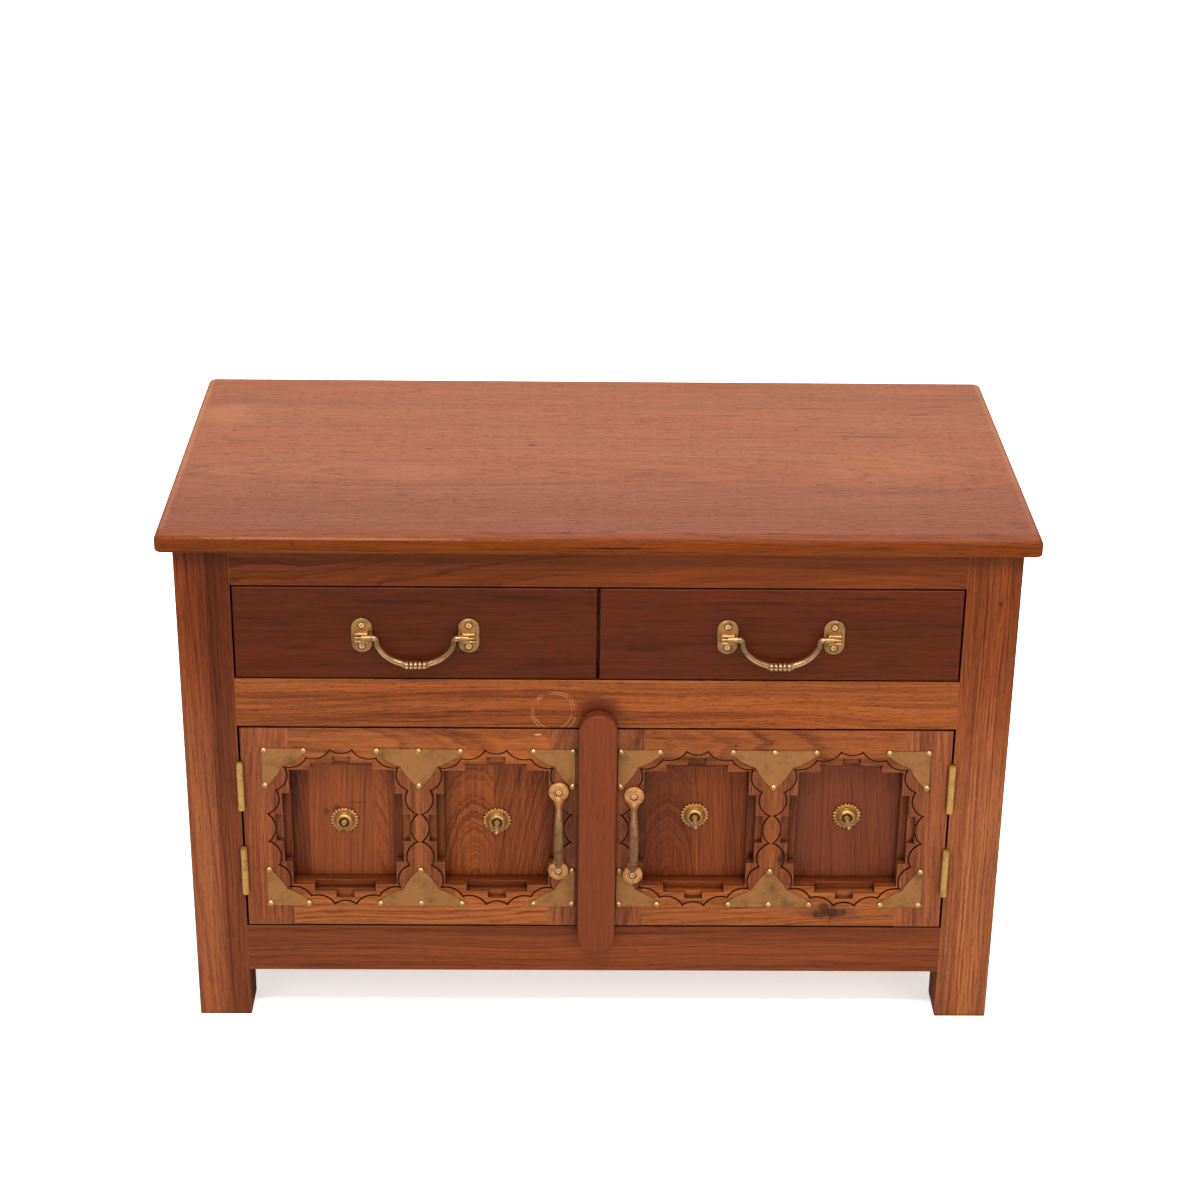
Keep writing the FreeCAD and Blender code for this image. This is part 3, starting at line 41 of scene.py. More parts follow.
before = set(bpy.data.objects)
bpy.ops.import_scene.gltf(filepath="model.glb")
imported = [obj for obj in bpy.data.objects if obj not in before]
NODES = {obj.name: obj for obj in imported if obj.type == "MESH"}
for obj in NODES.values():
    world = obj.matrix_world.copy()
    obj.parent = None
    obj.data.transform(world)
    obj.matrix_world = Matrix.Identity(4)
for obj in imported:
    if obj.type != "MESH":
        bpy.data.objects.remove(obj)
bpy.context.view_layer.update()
MM = 0.001
HANDS = ("left", "right")
OUTWARD = Vector((0.0, -1.0, 0.0))

# Faces that carry marks. All but the top's look to the front.
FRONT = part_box("front_top_rail")[0].y
PANEL_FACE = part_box("door_left_panels")[0].y
TOP_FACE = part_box("top_board")[1].z
LIP_FACE = -0.2075
BAR_FACE = -0.206

# The carved field round each panel, how deep its groove lies, and where the hollows behind it get dark:
# groove, field and hollows all get painted shade
PANEL_MIDDLE, PANEL_APART = 0.1733, 0.07535
PANEL_HEIGHTS = {"left": 0.2165, "right": 0.2235}
FIELD_HALF_WIDTH, FIELD_HALF_HEIGHT = 0.0715, 0.0760
GROOVE_TOP, GROOVE_FLOOR, HOLLOW = (0.7 * MM, 1.8 * MM), (3.4 * MM, 2.3 * MM), (3 * MM, 12 * MM)
FIELD_PAINTED_SHADE, HOLLOW_PAINTED_SHADE = (0.78, 0.70, 0.66), (0.50, 0.36, 0.31)

# How deep a mark goes under a face: in the skin, for stains and for painted shade and highlights, or through
# a carved edge
SKIN, THROUGH = 4 * MM, 30 * MM

# Screws of the handles and of the bails' plates: radius of the head, and the dark rim of its seat
HEAD = 2.9 * MM
SEAT_RADIUS, SEAT_WIDTH = HEAD + 0.45 * MM, 0.75 * MM
SEAT = (0.030, 0.011, 0.005)

# Where a foot of a door handle is cut off flat, and how far a bail's eye reaches over its pin
FOOT_CUT = 7.8 * MM
EYE = 2.9 * MM


# Sizes and colours that a user would change

def colour(name, description, value):
    """A colour that a user would change."""
    return bpy.props.FloatVectorProperty(name=name, description=description, default=value,
                                         size=3, min=0.0, max=1.0, subtype="COLOR")


def measure(name, description, value, **limits):
    """A number that a user would change. The functions below give it its unit or subtype."""
    return bpy.props.FloatProperty(name=name, description=description, default=value, **limits)


def length(name, description, value):
    return measure(name, description, value, min=0.0, unit="LENGTH")


def dullness(name, description, value):
    return measure(name, description, value, min=0.05, max=1.0, subtype="FACTOR")


def power(name, description, value):
    return measure(name, description, value, min=0.0, subtype="POWER")


def angle(name, description, degrees):
    return measure(name, description, math.radians(degrees), subtype="ANGLE")


class CabinetColours(bpy.types.PropertyGroup):
    """Base colours of the woods and the metals"""
    top_light: colour("Top, light", "Early wood of the top board", (0.262, 0.078, 0.0270))
    top_dark: colour("Top, dark", "Late wood of the top board", (0.140, 0.034, 0.0110))
    lip_light: colour("Lipping, light", "Early wood of the strip at the top's front", (0.194, 0.0435, 0.0078))
    lip_dark: colour("Lipping, dark", "Late wood of the strip at the top's front", (0.096, 0.0185, 0.0028))
    frame_light: colour("Frame, light", "Early wood of the posts and rails", (0.345, 0.094, 0.0255))
    frame_dark: colour("Frame, dark", "Late wood of the posts and rails", (0.108, 0.0225, 0.0062))
    drawer_light: colour("Drawer fronts, light", "Early wood of the drawer fronts", (0.122, 0.0212, 0.0062))
    drawer_dark: colour("Drawer fronts, dark", "Late wood of the drawer fronts", (0.046, 0.007, 0.0022))
    door_light: colour("Doors, light", "Early wood of the door frames", (0.318, 0.093, 0.0270))
    door_dark: colour("Doors, dark", "Late wood of the door frames", (0.100, 0.023, 0.006))
    panel_light: colour("Door panels, light", "Early wood of the door panels", (0.268, 0.064, 0.0150))
    panel_dark: colour("Door panels, dark", "Late wood of the door panels", (0.066, 0.012, 0.0035))
    bar_light: colour("Bar, light", "Early wood of the meeting bar", (0.187, 0.039, 0.0110))
    bar_dark: colour("Bar, dark", "Late wood of the meeting bar", (0.090, 0.017, 0.0050))
    inner_light: colour("Inside, light", "Early wood of the boards inside", (0.42, 0.20, 0.085))
    inner_dark: colour("Inside, dark", "Late wood of the boards inside", (0.22, 0.085, 0.03))
    pore: colour("Pores", "Open pores, dark veins and crevices", (0.022, 0.006, 0.003))
    sheet_brass: colour("Sheet brass", "Plates at the carving", (0.53, 0.232, 0.074))
    cast_brass: colour("Cast brass", "Handles and bails", (0.66, 0.34, 0.16))
    turned_brass: colour("Turned brass", "Bosses and tacks", (0.66, 0.40, 0.14))
    tarnish: colour("Tarnish", "Dulled patches and hollows of the brass", (0.17, 0.075, 0.026))


class CabinetFinish(bpy.types.PropertyGroup):
    """Gloss, relief and wear of the finishes"""
    wood_roughness: dullness("Wood roughness", "How dull the oiled wood is", 0.40)
    brass_roughness: dullness("Brass roughness", "How dull the brass is", 0.34)
    arris_radius: length("Arris radius", "Width of the worn edge along every arris", 0.0009)
    relief: length("Grain relief", "Depth of the pores and of the grain", 0.0002)


class CabinetStage(bpy.types.PropertyGroup):
    """Floor, lights and the camera's place"""
    floor_size: measure("Floor size", "Side of the pale floor", 30.0, min=2.0, unit="LENGTH")
    world_strength: measure("Sky strength", "Light from all around", 0.60, min=0.0)
    top_light: power("Overhead light", "Power of the softbox overhead", 80.0)
    strip_light: power("Strip light", "Power of the narrow light that draws the arrises", 45.0)
    key_light: power("Key light", "Power of the softbox at the front left", 26.0)
    fill_light: power("Fill light", "Power of the softbox at the front right", 30.0)
    camera_place: bpy.props.FloatVectorProperty(
        name="Camera place", description="Where the camera stands", size=3,
        default=(-0.0357, -2.4347, 1.5082), subtype="TRANSLATION")
    camera_pitch: angle("Camera pitch", "How far the camera looks down", 24.916)
    camera_yaw: angle("Camera yaw", "How far the camera turns to the right", 0.942)
    camera_roll: angle("Camera roll", "How far the camera leans", -0.7258)
    camera_lens: measure("Lens", "Focal length in millimetres on a 36 mm sensor", 78.469)


class CabinetFittings(bpy.types.PropertyGroup):
    """Sizes of the turned and cast brass, at the places that the solids give"""
    bead_count: bpy.props.IntProperty(
        name="Beads round a boss", description="Beads along the rim of each boss", default=22, min=6)
    bead_radius: length("Bead radius", "Radius of each bead round a boss", 0.0015)
    boss_radius: length("Boss radius", "Radius of a boss to the middle of its beads", 0.0125)
    spike_length: length("Spike length", "How far a spike stands out of its boss", 0.021)
    stub_length: length("Stub length", "What is left of the worn spike", 0.005)
    grip_radius: length("Grip radius", "Radius of a door handle at its middle", 0.0046)
    foot_radius: length("Foot radius", "Radius of a door handle's feet", 0.010)
    bail_radius: length("Bail radius", "Radius of a bail beside its beads", 0.0031)
    bail_bead_radius: length("Bail bead radius", "Radius of the beads at a bail's middle", 0.0041)


# Shader building

def put(tree, kind, inputs=None, **settings):
    """Adds a node, sets it up, and joins or fills its inputs."""
    node = tree.nodes.new(kind)
    for name, value in settings.items():
        setattr(node, name, value)
    for key, value in (inputs or {}).items():
        if isinstance(value, bpy.types.NodeSocket):
            tree.links.new(value, node.inputs[key])
        else:
            node.inputs[key].default_value = value
    return node


def sums(tree, operation, first, second=0.0, third=0.0, clamp=False):
    return put(tree, "ShaderNodeMath", {0: first, 1: second, 2: third},
               operation=operation, use_clamp=clamp).outputs[0]


def times(tree, first, second, clamp=False):
    return sums(tree, "MULTIPLY", first, second, clamp=clamp)


def muladd(tree, first, second, third, clamp=False):
    return sums(tree, "MULTIPLY_ADD", first, second, third, clamp)


def vectors(tree, operation, first, second=(0.0, 0.0, 0.0), output="Vector"):
    return put(tree, "ShaderNodeVectorMath", {0: first, 1: second}, operation=operation).outputs[output]


def axes_of(tree, place):
    return put(tree, "ShaderNodeSeparateXYZ", {0: place}).outputs


def solid_colour(values):
    return (*values, 1.0)


def blend_colour(tree, factor, first, second, mode="MIX"):
    return put(tree, "ShaderNodeMix", {0: factor, 6: first, 7: second}, data_type="RGBA",
               blend_type=mode).outputs[2]


def tinted(tree, mask, shade, tint):
    """A colour with a tint multiplied in, as far as the mask says."""
    return blend_colour(tree, mask, shade, solid_colour(tint), "MULTIPLY")


def noise(tree, vector, scale, detail=2.0, rough=0.5):
    return put(tree, "ShaderNodeTexNoise",
               {"Vector": vectors(tree, "MULTIPLY", vector, scale), "Scale": 1.0, "Detail": detail,
                "Roughness": rough}).outputs[0]


def ramp(tree, value, low, high, to_low=0.0, to_high=1.0):
    return put(tree, "ShaderNodeMapRange", {0: value, 1: low, 2: high, 3: to_low, 4: to_high},
               interpolation_type="SMOOTHSTEP").outputs[0]


def swing(tree, value, amount, start):
    """Moves start up and down by a noise value that lies round one half."""
    return muladd(tree, sums(tree, "SUBTRACT", value, 0.5), amount, start)


def shaded(share, values):
    """A colour made darker or lighter, by one share or by one for each part of it."""
    shares = share if isinstance(share, tuple) else (share,) * 3
    return [part * scale for part, scale in zip(values, shares)]


NUMBER, SHADE, ARROW = "NodeSocketFloat", "NodeSocketColor", "NodeSocketVector"
GROUPS = {}


def shader_group(name, inputs, outputs):
    """A new shader group with named sockets, and the nodes at its two ends."""
    tree = bpy.data.node_groups.new(name, "ShaderNodeTree")
    for label, kind, value in inputs:
        socket = tree.interface.new_socket(label, in_out="INPUT", socket_type=kind)
        if value is not None:
            socket.default_value = value
    for label, kind in outputs:
        tree.interface.new_socket(label, in_out="OUTPUT", socket_type=kind)
    return tree, tree.nodes.new("NodeGroupInput").outputs, tree.nodes.new("NodeGroupOutput").inputs


def teak_figure():
    """Growth rings cut by a board, with streaks, pores and broad bands. The grain runs along X."""
    tree, given, result = shader_group("Teak figure", (
        ("Vector", ARROW, None), ("Light", SHADE, None), ("Dark", SHADE, None), ("Pore", SHADE, None),
        ("Rings per metre", NUMBER, 170.0), ("Heart", NUMBER, 0.0), ("Depth", NUMBER, 0.05),
        ("Slope", NUMBER, 0.08), ("Warp", NUMBER, 0.02), ("Contrast", NUMBER, 0.5),
        ("Streaks", NUMBER, 0.35), ("Bands", NUMBER, 0.25), ("Pores", NUMBER, 0.5)),
        (("Color", SHADE), ("Roughness", NUMBER), ("Height", NUMBER)))
    place = given["Vector"]
    along = axes_of(tree, place)

    # Distance from the tree's heart, which the grain's slope and a slow warp move
    side = swing(tree, noise(tree, place, (3.0, 10.0, 10.0)), given["Warp"],
                 sums(tree, "SUBTRACT", along[1], given["Heart"]))
    deep = swing(tree, noise(tree, place, (2.2, 5.0, 16.0), 3.0), given["Warp"],
                 muladd(tree, along[0], given["Slope"], given["Depth"]))
    deep = muladd(tree, along[2], 0.7, deep)
    ring = sums(tree, "SQRT", muladd(tree, side, side, times(tree, deep, deep)))
    ring = swing(tree, noise(tree, place, (18.0, 160.0, 160.0)), 0.004, ring)

    # Rings of uneven width, each with a sharp start and a slow end
    ring_place = put(tree, "ShaderNodeCombineXYZ", {0: ring}).outputs[0]
    uneven = noise(tree, ring_place, (60.0, 1.0, 1.0), 3.0)
    turns = times(tree, muladd(tree, uneven, 0.03, ring), given["Rings per metre"])
    growth = sums(tree, "FRACT", turns)
    line = times(tree, sums(tree, "POWER", sums(tree, "SUBTRACT", 1.0, growth), 4.0),
                 ramp(tree, growth, 0.0, 0.08))
    line = times(tree, line, muladd(tree, uneven, 2.4, -0.5, clamp=True))
    year = noise(tree, ring_place, (420.0, 1.0, 1.0), 3.0, 0.6)
    late = muladd(tree, ramp(tree, year, 0.42, 0.68), 0.45, line)

    # Streaks and bands along the grain make the tone
    streak = noise(tree, place, (10.0, 430.0, 430.0), 3.0, 0.70)
    fine = noise(tree, place, (26.0, 1500.0, 1500.0), 1.0)
    band = noise(tree, place, (1.3, 46.0, 46.0), 2.0, 0.55)
    tone = muladd(tree, late, given["Contrast"], 0.26)
    tone = swing(tree, streak, times(tree, given["Streaks"], 3.4), tone)
    tone = swing(tree, fine, times(tree, given["Streaks"], 1.2), tone)
    tone = swing(tree, band, times(tree, given["Bands"], 3.6), tone)
    tone = sums(tree, "MAXIMUM", sums(tree, "MINIMUM", tone, 1.0), 0.0)
    base = blend_colour(tree, tone, given["Light"], given["Dark"])
    glow = noise(tree, place, (3.0, 14.0, 14.0), 1.0)
    warm = tinted(tree, ramp(tree, glow, 0.35, 0.65, 0.0, 0.55), base, (1.0, 0.84, 0.62))

    # Fine pores in the late wood, dark veins and short dashes
    vein = ramp(tree, noise(tree, place, (34.0, 640.0, 640.0), 2.0, 0.55), 0.600, 0.700)
    dash = ramp(tree, noise(tree, place, (120.0, 900.0, 900.0), 1.0), 0.580, 0.680)
    pore = ramp(tree, noise(tree, place, (85.0, 2300.0, 2300.0), 1.0), 0.60, 0.70)
    open_pores = times(tree, pore, muladd(tree, late, 0.6, 0.25))
    open_pores = muladd(tree, vein, 0.6, open_pores)
    open_pores = muladd(tree, dash, 0.45, open_pores)
    shown = times(tree, open_pores, given["Pores"], clamp=True)
    tree.links.new(blend_colour(tree, shown, warm, given["Pore"]), result["Color"])

    rough = swing(tree, streak, 0.25, 0.5)
    tree.links.new(muladd(tree, shown, 0.25, rough), result["Roughness"])
    relief = muladd(tree, late, -0.25, times(tree, streak, 0.7))
    tree.links.new(sums(tree, "SUBTRACT", relief, shown), result["Height"])
    return tree


def spot_mask():
    """A soft spot at a place, ragged at its rim: a knot, a dent, a stain, a painted shadow or a painted
    highlight.
    """
    tree, given, result = shader_group("Spot", (
        ("Vector", ARROW, None), ("Centre", ARROW, None), ("Reach", ARROW, (0.01, 0.01, 0.01)),
        ("Ragged", NUMBER, 0.5), ("Grain scale", NUMBER, 160.0)), (("Mask", NUMBER),))
    off = vectors(tree, "SUBTRACT", given["Vector"], given["Centre"])
    far = vectors(tree, "LENGTH", vectors(tree, "DIVIDE", off, given["Reach"]), output="Value")
    rag = put(tree, "ShaderNodeTexNoise", {"Vector": given["Vector"], "Scale": given["Grain scale"],
                                           "Detail": 3.0}).outputs[0]
    tree.links.new(ramp(tree, swing(tree, rag, given["Ragged"], far), 1.0, 0.35), result["Mask"])
    return tree


def ring_scratch():
    """A ring round a place: a broken scratch, as a drop pull leaves, or the whole rim of a screw's seat."""
    tree, given, result = shader_group("Ring scratch", (
        ("Vector", ARROW, None), ("Centre", ARROW, None), ("Radius", NUMBER, 0.02),
        ("Width", NUMBER, 0.0008), ("Waver", NUMBER, 0.006), ("Gaps", NUMBER, 0.34)), (("Mask", NUMBER),))
    place = given["Vector"]
    flat = vectors(tree, "MULTIPLY", vectors(tree, "SUBTRACT", place, given["Centre"]), (1.0, 0.2, 1.0))
    off = sums(tree, "SUBTRACT", vectors(tree, "LENGTH", flat, output="Value"), given["Radius"])
    away = sums(tree, "ABSOLUTE", swing(tree, noise(tree, place, (60.0, 60.0, 60.0)), given["Waver"], off))
    near = sums(tree, "SUBTRACT", 1.0, sums(tree, "DIVIDE", away, given["Width"]), clamp=True)
    broken = ramp(tree, noise(tree, place, (110.0, 110.0, 110.0)), given["Gaps"],
                  sums(tree, "ADD", given["Gaps"], 0.18))
    tree.links.new(times(tree, near, broken), result["Mask"])
    return tree


def aged_brass():
    """Brass dulled in patches, with fine scratches and small pits."""
    tree, given, result = shader_group("Aged brass", (
        ("Vector", ARROW, None), ("Bright", SHADE, None), ("Tarnish", SHADE, None),
        ("Patch scale", NUMBER, 60.0), ("Tarnish amount", NUMBER, 0.35), ("Roughness", NUMBER, 0.36)),
        (("Color", SHADE), ("Roughness", NUMBER), ("Height", NUMBER)))
    place = given["Vector"]
    cloud = put(tree, "ShaderNodeTexNoise", {"Vector": place, "Scale": given["Patch scale"], "Detail": 5.0,
                                             "Roughness": 0.62}).outputs[0]
    dull = ramp(tree, swing(tree, cloud, 2.6, given["Tarnish amount"]), 0.0, 1.0)
    rub = noise(tree, place, (900.0, 900.0, 120.0))
    pit = ramp(tree, noise(tree, place, (700.0, 700.0, 700.0)), 0.66, 0.74)
    base = blend_colour(tree, dull, given["Bright"], given["Tarnish"])
    base = blend_colour(tree, times(tree, pit, 0.6), base, given["Tarnish"])
    tree.links.new(base, result["Color"])
    rough = muladd(tree, dull, 0.20, given["Roughness"])
    tree.links.new(swing(tree, rub, 0.16, rough), result["Roughness"])
    height = swing(tree, cloud, 0.8, times(tree, rub, 0.25))
    tree.links.new(muladd(tree, pit, -0.5, height), result["Height"])
    return tree


def placed(tree, builder, values):
    """Puts a shared group into a material, with its own values. The group is built when it is first used."""
    if builder not in GROUPS:
        GROUPS[builder] = builder()
    return put(tree, "ShaderNodeGroup", values, node_tree=GROUPS[builder]).outputs


def marked(tree, place, shade, marks):
    """Lays knots and other marks over a colour."""
    for centre, reach, strength, tint, ragged, scale in marks:
        mask = placed(tree, spot_mask, {"Vector": place, "Centre": centre, "Reach": reach, "Ragged": ragged,
                                        "Grain scale": scale})[0]
        shade = blend_colour(tree, times(tree, mask, strength), shade, solid_colour(tint))
    return shade


def faded(tree, axes, shade, fade):
    """Lays a tint over a colour, from none of it at one place along an axis to all of it at another."""
    axis, start, stop, tint = fade
    return tinted(tree, ramp(tree, axes[axis], start, stop), shade, tint)


def steps_across(tree, value, stops):
    """Colours that change at once at each place along a value."""
    low, high = stops[0][0], stops[-1][0] + 0.02
    node = put(tree, "ShaderNodeValToRGB", {0: put(tree, "ShaderNodeMapRange",
                                                   {0: value, 1: low, 2: high}).outputs[0]})
    scale = node.color_ramp
    scale.interpolation = "CONSTANT"
    while len(scale.elements) < len(stops):
        scale.elements.new(1.0)
    for element, (start, shade) in zip(scale.elements, stops):
        element.position = (start - low) / (high - low)
        element.color = shade
    return node.outputs[0]


def carving_painted_shade(tree, axes, shade, height, pore):
    """Paints shade into the groove of the carving, the field inside it and the hollows behind."""
    depth = sums(tree, "SUBTRACT", axes[1], FRONT)
    groove = times(tree, ramp(tree, depth, *GROOVE_TOP), ramp(tree, depth, *GROOVE_FLOOR))
    shade = blend_colour(tree, times(tree, groove, 0.74), shade, pore)
    fold = sums(tree, "SUBTRACT", sums(tree, "ABSOLUTE", axes[0]), PANEL_MIDDLE)
    aside = sums(tree, "ABSOLUTE", sums(tree, "SUBTRACT", sums(tree, "ABSOLUTE", fold), PANEL_APART))
    above = sums(tree, "ABSOLUTE", sums(tree, "SUBTRACT", axes[2], height))
    reach = sums(tree, "MAXIMUM", sums(tree, "DIVIDE", aside, FIELD_HALF_WIDTH),
                 sums(tree, "DIVIDE", above, FIELD_HALF_HEIGHT))
    shade = tinted(tree, ramp(tree, reach, 1.03, 0.95, 0.0, 0.8), shade, FIELD_PAINTED_SHADE)
    return tinted(tree, ramp(tree, depth, *HOLLOW, 0.0, 0.85), shade, HOLLOW_PAINTED_SHADE)


def new_material(name):
    material = bpy.data.materials.new(name)
    material.use_nodes = True
    tree = material.node_tree
    tree.nodes.clear()
    shader = tree.nodes.new("ShaderNodeBsdfPrincipled")
    put(tree, "ShaderNodeOutputMaterial", {"Surface": shader.outputs[0]})
    return material, tree, shader, tree.nodes.new("ShaderNodeTexCoord").outputs["Object"]


# How the shape shows in a finish: how far the rounded normal of an arris leans, which lightens it with wear
# and painted highlight, how open the air round it is, and how closed the crevices of wood and of brass are;
# the wood's crevices get dirt and painted shade
LEAN, OPEN = (0.995, 0.80), (0.62, 0.82)
WOOD_CREVICE, BRASS_CREVICE = (0.86, 0.25), (0.80, 0.25)
WOOD_REACH, BRASS_REACH = 6 * MM, 3 * MM

# Which way the grain runs: the order of the axes along it, across it and into the board
GRAIN = {"along_x": (0, 2, 1), "flat_x": (0, 1, 2), "along_z": (2, 0, 1), "side_z": (2, 1, 0),
         "along_y": (1, 2, 0)}


def wood(name, grain, offset, shades, figure=None, share=1.0, marks=(), rings=(), strips=(), fade=None,
         carved=None, coat=0.28, gloss=0.28, rough=0.0, arris_wear_and_highlight=None):
    """Oiled wood of one board: its own cut through the figure, light arrises of wear and painted highlight,
    crevices darkened with dirt and painted shade, and any marks.
    """
    finish = bpy.context.scene.cabinet_finish
    pore = solid_colour(bpy.context.scene.cabinet_colours.pore)
    light, dark = (shaded(share, values) for values in shades)
    material, tree, shader, place = new_material(name)
    axes = axes_of(tree, place)
    turned = put(tree, "ShaderNodeCombineXYZ",
                 {slot: axes[axis] for slot, axis in enumerate(GRAIN[grain])}).outputs[0]
    cut = put(tree, "ShaderNodeMapping", {"Vector": turned, "Location": offset}).outputs[0]
    if strips:
        across = axes[GRAIN[grain][1]]
        shift = steps_across(tree, across, [(start, solid_colour(0.5 + part for part in away))
                                            for start, away, tint in strips])
        cut = vectors(tree, "ADD", cut, vectors(tree, "SUBTRACT", shift, (0.5, 0.5, 0.5)))
    teak = placed(tree, teak_figure, {"Vector": cut, "Light": solid_colour(light), "Dark": solid_colour(dark),
                                      "Pore": pore, **(figure or {})})
    shade = teak["Color"]
    if strips:
        tints = steps_across(tree, across, [(start, solid_colour(tint)) for start, away, tint in strips])
        shade = blend_colour(tree, 1.0, shade, tints, "MULTIPLY")
    shade = marked(tree, place, shade, marks)
    for centre, radius, width, tint in rings:
        mask = placed(tree, ring_scratch, {"Vector": place, "Centre": centre, "Radius": radius,
                                           "Width": width})[0]
        shade = blend_colour(tree, mask, shade, solid_colour(tint))
    if fade:
        shade = faded(tree, axes, shade, fade)
    # Painted shade in the carving's groove, field and hollows
    if carved is not None:
        shade = carving_painted_shade(tree, axes, shade, carved, pore)

    # Light arrises, partly wear and partly painted highlight, and dark crevices, partly dirt and partly
    # painted shade, from the shape
    soft = put(tree, "ShaderNodeBevel", {"Radius": finish.arris_radius}, samples=4).outputs[0]
    flat = tree.nodes.new("ShaderNodeNewGeometry").outputs["Normal"]
    turn = vectors(tree, "DOT_PRODUCT", soft, flat, "Value")
    open_air = put(tree, "ShaderNodeAmbientOcclusion", {"Distance": WOOD_REACH}, samples=8).outputs["AO"]
    worn = times(tree, ramp(tree, turn, *LEAN), ramp(tree, open_air, *OPEN))
    edge = solid_colour(arris_wear_and_highlight or shaded(1.3, light))
    shade = blend_colour(tree, times(tree, worn, 0.55), shade, edge)
    shade = blend_colour(tree, ramp(tree, open_air, *WOOD_CREVICE, 0.0, 0.92), shade, pore)
    tree.links.new(shade, shader.inputs["Base Color"])

    level = sums(tree, "ADD", teak["Roughness"], finish.wood_roughness - 0.5 + rough, clamp=True)
    tree.links.new(level, shader.inputs["Roughness"])
    bump = put(tree, "ShaderNodeBump", {"Height": teak["Height"], "Normal": soft,
                                        "Distance": finish.relief, "Strength": 0.8})
    tree.links.new(bump.outputs[0], shader.inputs["Normal"])
    shader.inputs["Coat Weight"].default_value = coat
    shader.inputs["Coat Roughness"].default_value = 0.12
    shader.inputs["Specular IOR Level"].default_value = gloss
    shader.inputs["Specular Tint"].default_value = (1.0, 0.55, 0.30, 1.0)
    return material


def brass(name, bright, patch_scale=60.0, amount=0.30, rough=0.0, relief=0.00012, arris=0.0004,
          metallic=1.0, fade=None, tarnish=None, seats=()):
    """Brass with dull patches, pits, rubbed edges and dark hollows."""
    finish = bpy.context.scene.cabinet_finish
    dull = tarnish or bpy.context.scene.cabinet_colours.tarnish
    material, tree, shader, place = new_material(name)
    metal = placed(tree, aged_brass, {"Vector": place, "Bright": solid_colour(bright),
                                      "Tarnish": solid_colour(dull), "Patch scale": patch_scale,
                                      "Tarnish amount": amount,
                                      "Roughness": finish.brass_roughness + rough})
    shade = metal["Color"]
    for centre in seats:
        rim = placed(tree, ring_scratch, {"Vector": place, "Centre": centre, "Radius": SEAT_RADIUS,
                                          "Width": SEAT_WIDTH, "Waver": 0.0, "Gaps": -1.0})[0]
        shade = blend_colour(tree, times(tree, rim, 1.4, clamp=True), shade, solid_colour(SEAT))
    if fade:
        shade = faded(tree, axes_of(tree, place), shade, fade)
    open_air = put(tree, "ShaderNodeAmbientOcclusion", {"Distance": BRASS_REACH}, samples=8).outputs["AO"]
    shade = blend_colour(tree, ramp(tree, open_air, *BRASS_CREVICE, 0.0, 0.85), shade,
                         solid_colour(shaded(0.35, dull)))
    tree.links.new(shade, shader.inputs["Base Color"])
    tree.links.new(metal["Roughness"], shader.inputs["Roughness"])
    soft = put(tree, "ShaderNodeBevel", {"Radius": arris}, samples=4).outputs[0]
    bump = put(tree, "ShaderNodeBump", {"Height": metal["Height"], "Normal": soft,
                                        "Distance": relief, "Strength": 0.6})
    tree.links.new(bump.outputs[0], shader.inputs["Normal"])
    shader.inputs["Metallic"].default_value = metallic
    return material


def marks_on(face, rows, deep=SKIN, axis=1):
    """Marks on a face that looks along an axis. Each row is a place in the face and a half width and height
    in millimetres, then strength, colour, how ragged the rim is and the scale of the rag."""
    marks = []
    for across, up, wide, tall, *rest in rows:
        place, reach = [across * MM, up * MM], [wide * MM, tall * MM]
        place.insert(axis, face)
        reach.insert(axis, deep)
        marks.append((place, reach, *rest))
    return marks


def finish_nodes(material, *nodes):
    for node in nodes:
        thing = NODES[node]
        if not thing.material_slots:
            thing.data.materials.append(material)
        for slot in thing.material_slots:
            slot.material = material


def board(node, *cut, **look):
    """Finishes one solid with a wood of its own."""
    finish_nodes(wood(node + "_teak", *cut, **look), node)


# Modelling by hand: rings that are extruded, widened and turned

def start_ring(name, place, toward, radius, sides):
    """A filled ring that faces along toward, open for editing."""
    bpy.ops.object.select_all(action="DESELECT")
    bpy.ops.mesh.primitive_circle_add(vertices=sides, radius=radius, fill_type="NGON", location=place,
                                      rotation=toward.to_track_quat("Z", "X").to_euler())
    piece = bpy.context.object
    piece.name = piece.data.name = name
    bpy.ops.object.mode_set(mode="EDIT")
    bpy.ops.mesh.select_all(action="SELECT")
    return piece


def close_piece(piece, smooth=38):
    """Leaves edit mode and puts the piece's place into its mesh. Edges flatter than smooth degrees are
    shaded round."""
    bpy.ops.object.mode_set(mode="OBJECT")
    bpy.ops.object.transform_apply(location=True, rotation=True, scale=True)
    bpy.ops.object.shade_smooth_by_angle(angle=math.radians(smooth))
    return piece


def lathe(name, foot, toward, profile, sides=48):
    """A round piece along toward: each step of the profile is a height and a radius, in millimetres."""
    profile = [(height * MM, radius * MM) for height, radius in profile]
    rise, radius = profile[0]
    piece = start_ring(name, foot + rise * toward, toward, radius, sides)
    for height, width in profile[1:]:
        bpy.ops.mesh.extrude_region_move(TRANSFORM_OT_translate={"value": (height - rise) * toward})
        bpy.ops.transform.resize(value=(width / radius,) * 3, center_override=foot + height * toward)
        rise, radius = height, width
    return piece


